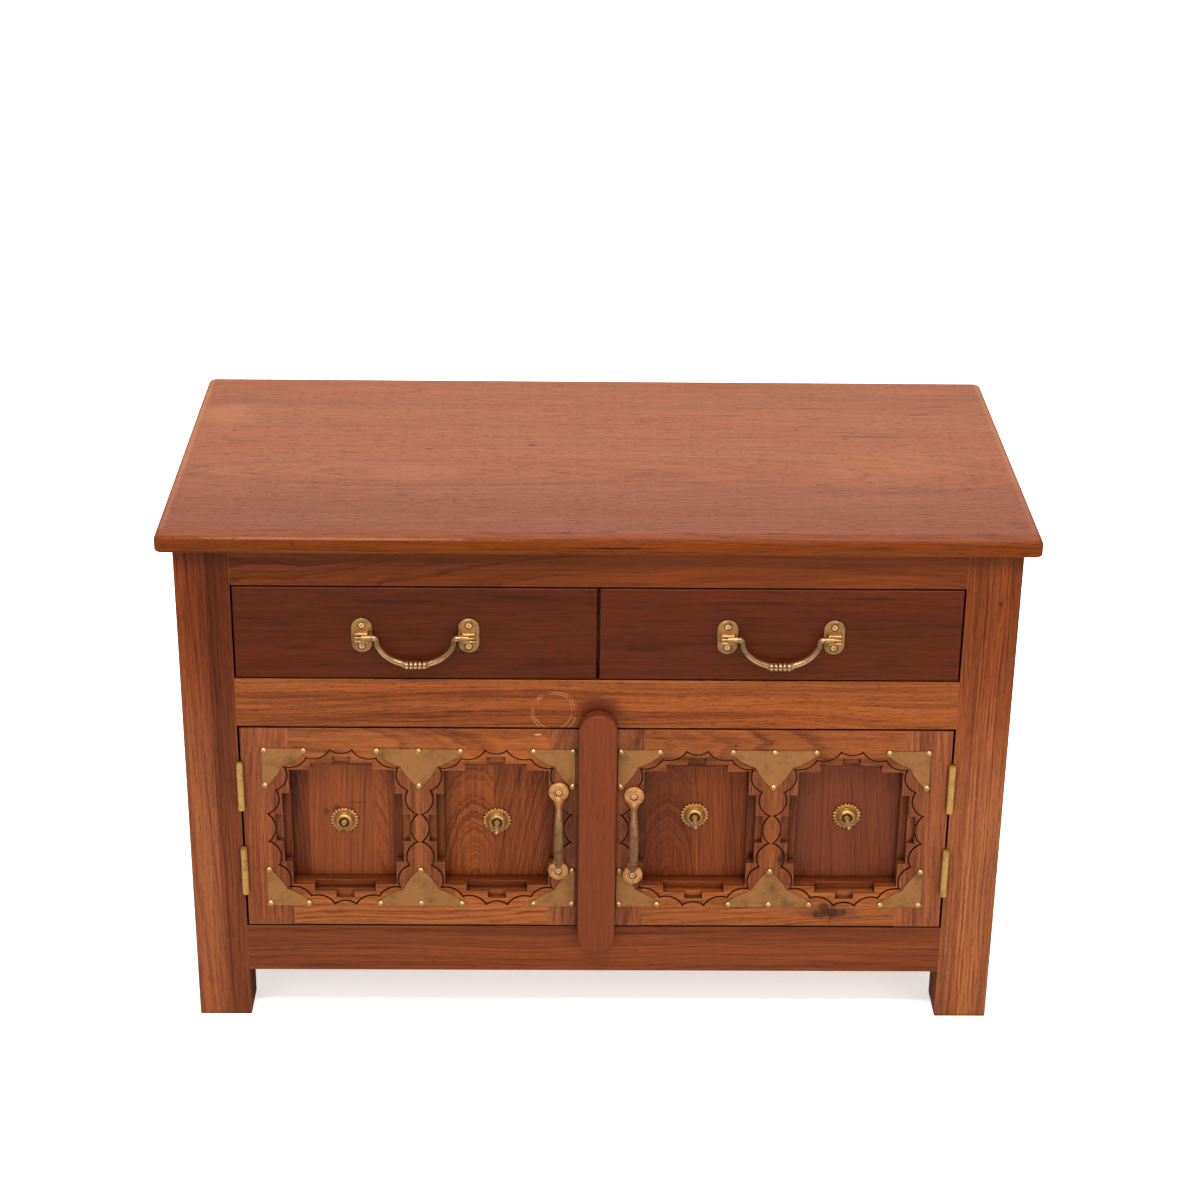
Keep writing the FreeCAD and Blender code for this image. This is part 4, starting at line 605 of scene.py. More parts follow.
def cast_bar(name, line, axis, crease=0.0, sides=20):
    """A round bar along a line in a plane: each place has its own radius."""
    normal = Vector((1.0, 0.0, 0.0)) if axis == "X" else Vector((0.0, 1.0, 0.0))
    places = [Vector(place) for place, radius in line]
    ways = [(places[min(step + 1, len(places) - 1)] - places[max(step - 1, 0)]).normalized()
            for step in range(len(places))]
    radius = line[0][1]
    piece = start_ring(name, places[0], ways[0], radius, sides)
    if crease:
        bpy.ops.mesh.select_all(action="DESELECT")
        bpy.ops.object.mode_set(mode="OBJECT")
        inner = min(piece.data.vertices, key=lambda corner: (piece.matrix_world @ corner.co).y)
        inner.select = True
        bpy.ops.object.mode_set(mode="EDIT")
        bpy.ops.transform.translate(value=(0.0, crease * radius, 0.0))
        bpy.ops.mesh.select_all(action="SELECT")
    for step in range(1, len(places)):
        bpy.ops.mesh.extrude_region_move(TRANSFORM_OT_translate={"value": places[step] - places[step - 1]})
        turn = math.atan2(normal.dot(ways[step - 1].cross(ways[step])), ways[step - 1].dot(ways[step]))
        if abs(turn) > 1e-6:
            bpy.ops.transform.rotate(value=-turn, orient_axis=axis, center_override=places[step])
        bpy.ops.transform.resize(value=(line[step][1] / radius,) * 3, center_override=places[step])
        radius = line[step][1]
    return piece


def select_only(active, *others):
    bpy.ops.object.select_all(action="DESELECT")
    for piece in (active, *others):
        piece.select_set(True)
    bpy.context.view_layer.objects.active = active


def join(name, first, *others):
    select_only(first, *others)
    bpy.ops.object.join()
    first.name = first.data.name = name
    return first


def copy_piece(piece, name, shift):
    """A copy with its own mesh, moved by shift."""
    select_only(piece)
    bpy.ops.object.duplicate(linked=False)
    copy = bpy.context.object
    copy.name = copy.data.name = name
    bpy.ops.transform.translate(value=shift)
    bpy.ops.object.transform_apply(location=True, rotation=True, scale=True)
    return copy


def dress(piece, material):
    piece.data.materials.clear()
    piece.data.materials.append(material)
    return piece


def hand_over(piece, body, node):
    """Puts a finished piece on the body it rides on, and hides the solid that it stands for."""
    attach(piece, body)
    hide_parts(node)


# Colours of marks on the wood
BLACK, SOOT, DARK = (0.012, 0.004, 0.003), (0.012, 0.006, 0.005), (0.035, 0.010, 0.008)
BURL, GREY, PALE = (0.035, 0.010, 0.006), (0.12, 0.046, 0.024), (0.36, 0.130, 0.045)
AMBER, KNOT, VEIN = (0.34, 0.145, 0.085), (0.10, 0.016, 0.008), (0.12, 0.025, 0.008)
STAIN, SCUFF, NIGHT = (0.10, 0.020, 0.006), (0.07, 0.014, 0.006), (0.022, 0.005, 0.003)

# Tints of the boards that a solid is glued up of
FULL, PLAIN, BROWN = (1.0, 1.0, 1.0), (0.86, 0.84, 0.84), (0.87, 0.78, 0.70)
DEEP, DIM = (0.66, 0.56, 0.56), (0.60, 0.50, 0.50)

# Marks of the top: knots and dark veins, dull stains, pale rubbed places, and along each end a pale band that
# is partly rubbed wear and partly painted highlight of the rounded end
TOP_MARKS = marks_on(TOP_FACE, (
    (-292.5, 57.6, 5, 1.6, 0.85, DARK, 0.7, 300),
    (-294.6, 13.4, 8, 3.8, 0.55, GREY, 0.7, 300),
    (-169.4, 18.4, 5, 2.2, 0.75, DARK, 0.7, 300),
    (-65.9, 31.2, 4.6, 3.4, 0.80, DARK, 0.7, 300),
    (-350, 37, 30, 2, 0.55, DARK, 0.7, 220),
    (-370, 39, 6, 2.2, 0.70, DARK, 0.7, 300),
    (334, 123.8, 18, 1.6, 0.75, DARK, 0.7, 260),
    (360, 150, 12, 1.6, 0.50, DARK, 0.7, 260),
    (396, 175.6, 15, 15, 0.35, GREY, 0.7, 90),
    (374.3, -100.4, 22, 10, 0.30, GREY, 0.7, 110),
    (-370.5, 163.5, 34, 28, 0.30, GREY, 0.7, 60),
    (-340, 190, 20, 12, 0.25, GREY, 0.7, 60),
    (-382, 110, 36, 42, 0.28, PALE, 0.7, 70),
    (-80, -140, 3, 3, 0.50, PALE, 0.7, 300),
    (-20, 90, 40, 1.6, 0.45, DARK, 0.7, 200),
    (135, 118, 22, 2.2, 0.60, DARK, 0.7, 240),
    (225, 140, 26, 1.6, 0.60, DARK, 0.7, 240),
    (150, 56, 70, 1.8, 0.55, DARK, 0.7, 150),
    (280, 60, 60, 3, 0.50, DARK, 0.7, 170),
    (85, -66, 50, 1.6, 0.65, DARK, 0.7, 160),
    (160, -64, 30, 1.4, 0.45, DARK, 0.7, 200),
    # Pale bands along both ends: partly rubbed wear, partly painted highlight of the rounded ends
    (-411, 0, 5, 600, 0.45, PALE, 0.7, 90),
    (411, 0, 5, 600, 0.35, PALE, 0.7, 90),
    (-174, -45, 70, 30, 0.16, PALE, 0.7, 30),
    (290, -20, 100, 50, 0.14, PALE, 0.7, 30)), 10 * MM, axis=2)

# Marks of the lipping: on its flat a painted highlight line and dark spots, a painted highlight along its
# arris, and dark marks on its edge
LIP_MARKS = [
    # Painted highlight line along the back of the lipping's flat
    ((0.050, -0.1875, TOP_FACE), (0.420, 0.0014, 0.003), 0.45, PALE, 0.9, 120.0),
    # Painted highlight along the lipping's arris
    ((-0.2500, -0.2058, 0.5338), (0.190, 0.0020, 0.0020), 0.50, AMBER, 0.8, 140.0),
    ((0.014, LIP_FACE, 0.5262), (0.050, 0.006, 0.0011), 0.95, SOOT, 0.9, 420.0),
    ((-0.0323, -0.1918, TOP_FACE), (0.009, 0.0030, 0.003), 0.80, (0.03, 0.015, 0.012), 0.7, 300.0),
    ((0.0061, -0.1885, TOP_FACE), (0.014, 0.0022, 0.003), 0.70, DARK, 0.7, 300.0),
    ((-0.2850, LIP_FACE, 0.5290), (0.003, 0.006, 0.0020), 0.60, DARK, 0.6, 400.0),
    ((0.2600, LIP_FACE, 0.5280), (0.028, 0.006, 0.0016), 0.55, DARK, 0.9, 400.0)]

# Marks of the front posts: the shade under the top's overhang, and two knots
UNDER_TOP = [(x, 513, 200, 15, 0.30, (0.05, 0.009, 0.0015), 0.3, 160) for x in (-385, 385)]
KNOTS = [(381.3, 464.7, 3, 4, 0.85, KNOT, 0.5, 300),
         (381.3, 456, 1.4, 15, 0.50, KNOT, 0.5, 300)]

# Each post: how light it is, its marks, and the strips it is glued up of
POSTS = {
    "post_front_left": ((0.86, 0.90, 1.00), marks_on(FRONT, UNDER_TOP), (
        (-0.400, (0.1, 0.2, 0.1), FULL), (-0.3715, (0.3, 0.4, 0.2), DEEP))),
    "post_front_right": ((1.15, 1.30, 1.46), marks_on(FRONT, UNDER_TOP + KNOTS), (
        (0.348, (0.2, 0.3, 0.1), (0.86, 0.80, 0.78)), (0.3655, (0.4, 0.1, 0.3), FULL),
        (0.389, (0.1, 0.4, 0.4), (0.90, 0.86, 0.84)))),
    "post_back_left": (0.95, (), ()),
    "post_back_right": (1.0, (), ()),
}

# Each rail: how light it is, its figure and its marks
RAIL_FIGURE = {"Streaks": 0.42, "Bands": 0.38, "Pores": 0.6}
RAILS = {
    "front_top_rail": dict(
        # Painted shade: the whole rail is made darker, as it lies under the top's overhang.
        share=(0.52, 0.37, 0.14),
        figure={**RAIL_FIGURE, "Rings per metre": 150.0, "Heart": 0.46, "Depth": -0.02, "Slope": 0.13,
                "Warp": 0.09, "Contrast": 0.75},
        # Painted shadow of the overhang: darker towards the rail's top edge.
        fade=(2, 0.499, 0.506, (0.74, 0.72, 0.76)),
        marks=marks_on(FRONT, (
            (54, 500, 4.2, 2, 0.90, (0.02, 0.006, 0.004), 0.4, 300),
            (54, 500, 13, 6, 0.50, STAIN, 0.8, 200),
            (-350, 506, 30, 4, 0.60, (0.03, 0.008, 0.005), 0.9, 160),
            (240, 501, 70, 6, 0.50, (0.05, 0.010, 0.004), 1.1, 70),
            (-190, 495, 250, 80, 0.25, (0.07, 0.014, 0.0015), 0.2, 20),
            (185, 495, 250, 80, 0.14, (0.36, 0.070, 0.0072), 0.2, 20)))),
    "front_middle_rail": dict(
        share=(0.86, 0.82, 0.58),
        figure={**RAIL_FIGURE, "Rings per metre": 170.0, "Heart": 0.62, "Depth": 0.03, "Slope": 0.05,
                "Warp": 0.04, "Contrast": 0.75, "Bands": 0.5, "Pores": 0.9},
        rings=(((-0.0418, FRONT, 0.3471), 0.0215, 0.0007, (0.40, 0.155, 0.06)),
               ((-0.0430, FRONT, 0.3480), 0.0185, 0.0007, (0.37, 0.145, 0.06))),
        marks=marks_on(FRONT, (
            (-210, 380, 130, 4.5, 0.40, VEIN, 0.8, 60),
            (200, 380.5, 140, 4, 0.40, VEIN, 0.8, 60),
            (-230, 352, 100, 3, 0.35, STAIN, 0.9, 70),
            (-115, 366, 34, 9, 0.45, STAIN, 1.2, 70),
            (-41.8, 347.1, 1.6, 1.6, 0.95, (0.03, 0.010, 0.006), 0.4, 300),
            # Dark halo round the meeting bar's top end: painted shadow of the bar, partly stain
            (1, 352, 30, 15, 0.85, (0.085, 0.014, 0.005), 0.7, 90),
            (-133, 347, 20, 2.2, 0.70, SCUFF, 0.9, 200),
            (-100, 348, 16, 2, 0.60, SCUFF, 0.9, 200),
            (-60, 370, 24, 6, 0.35, VEIN, 1.0, 90)))),
    "front_bottom_rail": dict(
        share=(0.60, 0.51, 0.46),
        figure={**RAIL_FIGURE, "Rings per metre": 130.0, "Heart": 0.30, "Depth": 0.06, "Slope": 0.02,
                "Warp": 0.03, "Contrast": 0.7}),
}

# Marks on the frames of the doors
DOOR_MARKS = {
    "door_left_top_rail": marks_on(FRONT, (
        (-42.6, 308.9, 1.7, 1.7, 1.0, BLACK, 0.2, 300),
        (-57.2, 322.5, 5, 1.2, 0.8, (0.55, 0.30, 0.16), 0.8, 300),
        (-145, 305, 26, 2.2, 0.4, BURL, 0.9, 160))),
    "door_right_top_rail": marks_on(FRONT, (
        (44.7, 308.3, 1.7, 1.7, 1.0, BLACK, 0.2, 300),
        (135, 311, 1.7, 1.7, 1.0, BLACK, 0.2, 300))),
    "door_right_muntin": marks_on(FRONT, (
        (186, 185, 7.5, 11, 0.85, BURL, 1.1, 230),
        (154.5, 184, 3.4, 7, 0.95, BLACK, 0.9, 230)), THROUGH),
    "door_right_bottom_rail": marks_on(FRONT, (
        (233.8, 123, 18, 11, 0.85, BURL, 1.9, 170),
        (233.8, 123, 45, 13, 0.35, BURL, 1.3, 120)), THROUGH),
    "door_left_inner_stile": marks_on(FRONT, (
        (-27.3, 215, 13, 80, 0.30, BURL, 0.8, 60),)),
    "door_right_outer_stile": marks_on(FRONT, (
        (308, 250, 3, 50, 0.30, BURL, 0.9, 90),)),
}

# Each panel is glued up of boards: where a board starts, its shift through the figure, and its tint
BOARDS = {
    "left": ((-0.3090, (0.02, 0.31, 0.00), DIM),
             (-0.2833, (0.05, -0.40, 0.05), (1.06, 1.08, 1.1)),
             (-0.2176, (0.10, 0.20, 0.10), (1.2, 1.2, 1.1)),
             (-0.2059, (0.00, 0.49, 0.00), PLAIN),
             (-0.1500, (0.00, 0.00, 0.00), (1.02, 0.98, 0.76)),
             (-0.1014, (0.10, -0.17, 0.02), (0.92, 0.86, 0.80))),
    "right": ((0.0380, (0.00, 0.00, 0.00), (0.74, 0.64, 0.62)),
              (0.0936, (0.02, 0.31, 0.05), BROWN),
              (0.1115, (0.06, 0.42, 0.10), BROWN),
              (0.1500, (0.03, 0.36, 0.00), (0.76, 0.76, 1.35)),
              (0.2297, (0.05, 0.22, 0.10), (0.80, 0.76, 1.15))),
}

# Marks on the panels: small ones in the skin, and wide ones that calm a board's figure
FLECKS = {
    "left": ((-266, 225.5, 4.2, 5, 0.85, BURL, 0.9, 300),
             (-256, 230, 4.5, 4, 0.85, BURL, 0.9, 300),
             (-236, 236, 14, 1.6, 0.60, BURL, 0.9, 200),
             (-296, 250, 3, 40, 0.75, BURL, 1.2, 130)),
    "right": ((210, 248, 1.6, 2.6, 0.90, BLACK, 0.6, 300),
              (85, 250, 2, 40, 0.30, BURL, 1.0, 150)),
}
CALMER = {
    "left": ((-248, 200, 50, 110, 0.35, (0.180, 0.043, 0.0130), 0.3, 30),),
    "right": ((70, 240, 45, 90, 0.35, (0.120, 0.026, 0.0085), 0.3, 30),
              (250, 220, 90, 130, 0.50, (0.128, 0.028, 0.0115), 0.3, 30)),
}

# Marks on the meeting bar
SPECKS = marks_on(BAR_FACE, (
    (1.4, 240, 1, 4, 0.7, BLACK, 0.6, 300),
    (7.5, 244, 0.8, 15, 0.5, BLACK, 0.8, 300),
    (8, 215, 1, 3, 0.5, BLACK, 0.6, 300)))


class CABINET_OT_top(bpy.types.Operator):
    """Finish the top board and the strip along its front edge"""
    bl_idname = "cabinet.top"
    bl_label = "Top"

    def execute(self, context):
        colours = context.scene.cabinet_colours
        # The top's fade paints its sheen: darker towards the front, lighter towards the back where the sheen
        # falls.
        top = wood("top_teak", "flat_x", (0.0, 0.0, -TOP_FACE), (colours.top_light, colours.top_dark),
                   {"Rings per metre": 150.0, "Heart": -0.045, "Depth": 0.021, "Slope": 0.12,
                    "Contrast": 0.50, "Streaks": 0.30, "Bands": 0.16, "Pores": 0.85, "Warp": 0.02},
                   marks=TOP_MARKS, coat=0.12, gloss=0.17, fade=(1, 0.02, -0.17, (0.74, 0.64, 0.66)))
        finish_nodes(top, "top_board")
        # The lipping's fade is painted shade: darker towards its rounded underside.
        lip = wood("lipping_teak", "along_x", (1.7, 0.1, 0.2), (colours.lip_light, colours.lip_dark),
                   {"Rings per metre": 210.0, "Heart": 0.1, "Contrast": 0.55, "Streaks": 0.45, "Bands": 0.3,
                    "Pores": 0.6}, marks=LIP_MARKS, coat=0.0, gloss=0.12,
                   fade=(2, 0.5335, 0.5180, (0.88, 0.92, 0.92)))
        finish_nodes(lip, "top_front_lipping")
        return {"FINISHED"}


class CABINET_OT_frame(bpy.types.Operator):
    """Finish the posts, the rails, the side panels and the back"""
    bl_idname = "cabinet.frame"
    bl_label = "Case frame"

    def execute(self, context):
        colours = context.scene.cabinet_colours
        shades = colours.frame_light, colours.frame_dark
        for number, (node, (share, marks, strips)) in enumerate(POSTS.items()):
            figure = {"Rings per metre": 190.0, "Heart": 0.05 - 0.1 * (number % 2), "Depth": 0.03,
                      "Slope": 0.05, "Contrast": 0.65, "Streaks": 0.42, "Bands": 0.42, "Pores": 0.6}
            # The fade is painted shade: each post darker towards its top, under the top's overhang.
            board(node, "along_z", (0.3 * number, 0.37 + 0.5 * number, 0.2), shades, figure, share, marks,
                  strips=strips, fade=(2, 0.20, 0.46, (0.60, 0.40, 0.18)))
        for number, (node, look) in enumerate(RAILS.items()):
            board(node, "along_x", (0.9 * number, 0.0, 0.1925), shades, **look)

        plain = {"Contrast": 0.6, "Streaks": 0.4, "Bands": 0.35}
        finish_nodes(wood("side_rail_teak", "along_y", (0.2, 0.6, 0.3), shades, plain), "side_rails")
        finish_nodes(wood("back_rail_teak", "along_x", (2.2, 0.3, 0.7), shades, plain), "back_rails")
        side = wood("side_panel_teak", "side_z", (0.0, 0.0, 0.0), shades,
                    {"Rings per metre": 120.0, "Depth": 0.02, "Slope": 0.12, "Warp": 0.05, "Contrast": 0.6,
                     "Bands": 0.2}, 0.85,
                    strips=((-0.16, (0.1, 0.2, 0.0), FULL), (-0.045, (0.3, 0.4, 0.1), (0.84, 0.78, 0.74)),
                            (0.07, (0.2, 0.1, 0.2), (0.95, 0.93, 0.90))))
        finish_nodes(side, "side_panels")
        back = wood("back_panel_teak", "along_x", (4.1, 0.5, 0.2), shades,
                    {"Contrast": 0.4, "Rings per metre": 60.0, "Warp": 0.06}, coat=0.1)
        finish_nodes(back, "back_panel")
        return {"FINISHED"}


class CABINET_OT_inside(bpy.types.Operator):
    """Finish the plain boards inside the case and the drawer boxes"""
    bl_idname = "cabinet.inside"
    bl_label = "Inside"

    def execute(self, context):
        colours = context.scene.cabinet_colours
        for name, grain, offset, nodes in (
                ("inner_board", "flat_x", (1.1, 0.4, 0.3),
                 ("floor_board", "dust_board", "drawer_left_bottom", "drawer_right_bottom")),
                ("inner_cross_board", "along_x", (3.1, 0.2, 0.3),
                 ("drawer_left_back", "drawer_right_back", "top_fixing_blocks")),
                ("inner_strip", "along_y", (2.1, 0.2, 0.6),
                 ("drawer_partition", "cleats_guides_and_stops", "drawer_left_sides", "drawer_right_sides"))):
            finish_nodes(wood(name, grain, offset, (colours.inner_light, colours.inner_dark),
                              {"Contrast": 0.4}, rough=0.2, coat=0.0), *nodes)
        return {"FINISHED"}


class CABINET_OT_drawer_fronts(bpy.types.Operator):
    """Finish the two dark drawer fronts"""
    bl_idname = "cabinet.drawer_fronts"
    bl_label = "Drawer fronts"

    def execute(self, context):
        colours = context.scene.cabinet_colours
        figure = {"Rings per metre": 90.0, "Heart": 0.43, "Depth": 0.05, "Slope": 0.04, "Warp": 0.04,
                  "Contrast": 0.30, "Streaks": 0.46, "Bands": 0.26, "Pores": 0.85}
        for number, (hand, middle, share) in enumerate((("left", -166, (0.76, 0.60, 0.22)),
                                                        ("right", 166, (0.85, 0.68, 0.27)))):
            marks = marks_on(FRONT, (
                (middle - 20, 464, 60, 2.6, 0.60, NIGHT, 1.0, 130),
                (middle + 90, 469, 34, 2.2, 0.65, NIGHT, 1.0, 160),
                (middle - 120, 415, 30, 3, 0.45, NIGHT, 1.0, 160),
                (middle + 110, 400, 20, 6, 0.35, NIGHT, 1.2, 120)))
            # The light arris colour is wear and painted highlight.
            front = wood(f"drawer_{hand}_teak", "along_x", (0.6 + 1.3 * number, 0.0, 0.2),
                         (colours.drawer_light, colours.drawer_dark), figure, share, marks,
                         arris_wear_and_highlight=(0.30, 0.085, 0.035))
            finish_nodes(front, f"drawer_{hand}_front")
        return {"FINISHED"}


class CABINET_OT_doors(bpy.types.Operator):
    """Finish the carved door frames, their panels and the bar between them"""
    bl_idname = "cabinet.doors"
    bl_label = "Doors"

    def execute(self, context):
        colours = context.scene.cabinet_colours
        shades = colours.door_light, colours.door_dark
        for number, hand in enumerate(HANDS):
            for place, (piece, grain, share) in enumerate((
                    ("outer_stile", "along_z", (0.91, 0.85, 0.95)),
                    ("inner_stile", "along_z", (0.83, 0.79, 0.90)),
                    ("top_rail", "along_x", ((1.12, 1.08, 0.86), (0.92, 0.88, 0.74))[number]),
                    ("bottom_rail", "along_x", (1.10, 1.06, 0.86)),
                    ("muntin", "along_z", (0.90, 0.86, 0.86)))):
                figure = {"Rings per metre": 170.0, "Heart": 0.2 * place, "Depth": 0.03, "Slope": 0.10,
                          "Warp": 0.04, "Contrast": 0.65, "Streaks": 0.45, "Bands": 0.30, "Pores": 0.6}
                node = f"door_{hand}_{piece}"
                board(node, grain, (1.7 * number + 0.4 * place, 0.1, 0.3), shades, figure, share,
                      DOOR_MARKS.get(node, ()), carved=PANEL_HEIGHTS[hand])
        for hand, heart in zip(HANDS, (-0.1200, 0.0712)):
            figure = {"Rings per metre": 230.0, "Heart": heart, "Depth": -0.0525, "Slope": 0.35,
                      "Warp": 0.006, "Contrast": 0.78, "Streaks": 0.36, "Bands": 0.16, "Pores": 0.5}
            panel = wood(f"door_{hand}_panel_teak", "along_z", (0.0, 0.0, -PANEL_FACE),
                         (colours.panel_light, colours.panel_dark), figure,
                         marks=(marks_on(PANEL_FACE, FLECKS[hand])
                                + marks_on(PANEL_FACE, CALMER[hand], THROUGH)), strips=BOARDS[hand])
            finish_nodes(panel, f"door_{hand}_panels")

        bar = wood("meeting_bar_teak", "along_z", (0.9, 0.3, 0.5), (colours.bar_light, colours.bar_dark),
                   {"Contrast": 0.25, "Streaks": 0.34, "Bands": 0.15, "Pores": 0.35}, marks=SPECKS)
        finish_nodes(bar, "meeting_bar")
        return {"FINISHED"}


class CABINET_OT_flat_brass(bpy.types.Operator):
    """Finish the corner plates, tacks, bail plates, hinges and screws"""
    bl_idname = "cabinet.flat_brass"
    bl_label = "Plates, tacks, hinges and screws"

    def execute(self, context):
        colours = context.scene.cabinet_colours
        sheet = brass("sheet_brass", colours.sheet_brass, 36.0, 0.20, 0.14, metallic=0.70)
        tack = brass("tack_brass", shaded(1.10, colours.turned_brass), 180.0, 0.12, -0.06, arris=0.0002,
                     metallic=0.78)
        hinge = brass("hinge_brass", shaded((1.08, 0.97, 0.80), colours.turned_brass), 60.0, 0.08, 0.05,
                      metallic=0.6)
        steel = brass("dull_steel", (0.42, 0.40, 0.37), 200.0, 0.2, 0.1, tarnish=(0.12, 0.10, 0.09))
        screw = brass("screw_brass", shaded((1.35, 1.45, 1.30), colours.cast_brass), 300.0, 0.15, 0.05,
                      arris=0.0002, metallic=0.45)
        for hand in HANDS:
            low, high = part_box(f"drawer_{hand}_screws")
            seats = [(x, low.y, z) for x in (low.x + HEAD, high.x - HEAD)
                     for z in (low.z + HEAD, high.z - HEAD)]
            plate = brass(f"plate_{hand}_cast_brass", shaded((1.0, 1.04, 0.80), colours.cast_brass), 110.0,
                          0.20, 0.02, metallic=0.8, seats=seats)
            finish_nodes(plate, f"drawer_{hand}_handle_plates")
            finish_nodes(sheet, f"door_{hand}_brass_plates")
            finish_nodes(tack, f"door_{hand}_tacks")
            finish_nodes(hinge, f"door_{hand}_hinge_leaves")
            finish_nodes(screw, f"door_{hand}_screws", f"drawer_{hand}_screws")
        finish_nodes(hinge, "case_hinge_leaves", "hinge_pins")
        finish_nodes(steel, "case_screws")
        return {"FINISHED"}


def boss_body(name, centre, fittings):
    """A boss without its spike: a rim of beads round a ringed dome with a hollow middle."""
    rim = fittings.boss_radius / MM
    profile = [(0.0, rim - 0.2), (1.5, rim - 0.2), (1.9, rim - 0.7), (1.9, 10.1), (1.5, 9.8), (1.9, 9.5),
               (3.2, 9.45), (4.6, 9.1), (5.9, 8.4), (6.9, 7.4), (7.3, 6.4), (7.2, 5.8), (6.6, 5.3),
               (4.6, 5.0), (3.2, 4.8), (3.0, 3.4), (5.4, 3.2), (6.0, 2.8), (6.1, 2.2)]
    body = close_piece(lathe(name, centre, OUTWARD, profile))
    first_bead = centre + Vector((fittings.boss_radius, -0.9 * MM, 0.0))
    bpy.ops.object.select_all(action="DESELECT")
    bpy.ops.mesh.primitive_uv_sphere_add(segments=12, ring_count=8, radius=fittings.bead_radius,
                                         location=first_bead)
    beads = bpy.context.object
    bpy.ops.object.mode_set(mode="EDIT")
    bpy.ops.mesh.select_all(action="SELECT")
    bpy.ops.transform.resize(value=(1.0, 0.85, 1.0), center_override=first_bead)
    steps = fittings.bead_count - 1
    bpy.ops.mesh.spin(steps=steps, dupli=True, angle=2 * math.pi * steps / fittings.bead_count,
                      center=centre, axis=OUTWARD)
    bpy.ops.mesh.select_all(action="SELECT")
    bpy.ops.mesh.bisect(plane_co=centre, plane_no=OUTWARD, use_fill=True, clear_inner=True)
    bpy.ops.mesh.select_all(action="SELECT")
    bpy.ops.mesh.remove_doubles(threshold=0.01 * MM)
    bpy.ops.mesh.normals_make_consistent(inside=False)
    return join(name, body, close_piece(beads, 60))


# How high a boss's collar stands, in millimetres: the spike starts there
COLLAR = 6.0


def spike(name, centre, reach):
    """A blunt spike that stands in a boss, or its stub."""
    base, long = COLLAR, reach / MM
    if long < 10:
        profile = [(base, 2.2), (base + 0.4 * long, 2.1), (base + 0.45 * long, 1.7),
                   (base + 0.8 * long, 1.6), (base + long, 1.1)]
    else:
        profile = [(base, 2.3), (base + 2.2, 2.3), (base + 2.8, 2.1), (base + 0.3 * long, 2.05),
                   (base + 0.7 * long, 1.75), (base + long - 1.2, 1.55), (base + long - 0.4, 1.15),
                   (base + long, 0.50)]
    return close_piece(lathe(name, centre, OUTWARD, profile, 24))


class CABINET_OT_bosses(bpy.types.Operator):
    """Model the spiked bosses on the door panels"""
    bl_idname = "cabinet.bosses"
    bl_label = "Bosses"

    def execute(self, context):
        fittings, colours = context.scene.cabinet_fittings, context.scene.cabinet_colours
        turned = brass("boss_brass", shaded((1.20, 1.04, 0.92), colours.turned_brass), 190.0, 0.16, 0.0,
                       arris=0.0003, metallic=0.85)
        rubbed = brass("spike_brass", (0.55, 0.34, 0.17), 190.0, 0.10, 0.06, arris=0.0003, metallic=0.55)
        pattern = None
        for hand in HANDS:
            low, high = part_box(f"door_{hand}_bosses")
            height, reach = (low.z + high.z) / 2, (high.z - low.z) / 2
            parts = []
            for x in (low.x + reach, high.x - reach):
                centre = Vector((x, PANEL_FACE, height))
                label = f"door_{hand}_boss_{len(parts) + 1}"
                worn = hand == "left" and not parts
                if not pattern:
                    pattern = dress(boss_body("boss_pattern", centre, fittings), turned)
                    start = centre
                parts.append(copy_piece(pattern, label, centre - start))
                parts.append(dress(spike(label + "_spike", centre, fittings.stub_length if worn
                                         else fittings.spike_length), rubbed))
            bosses = join(f"door_{hand}_spiked_bosses", *parts)
            hand_over(bosses, f"door_{hand}", f"door_{hand}_bosses")
        select_only(pattern)
        bpy.ops.object.delete()
        return {"FINISHED"}


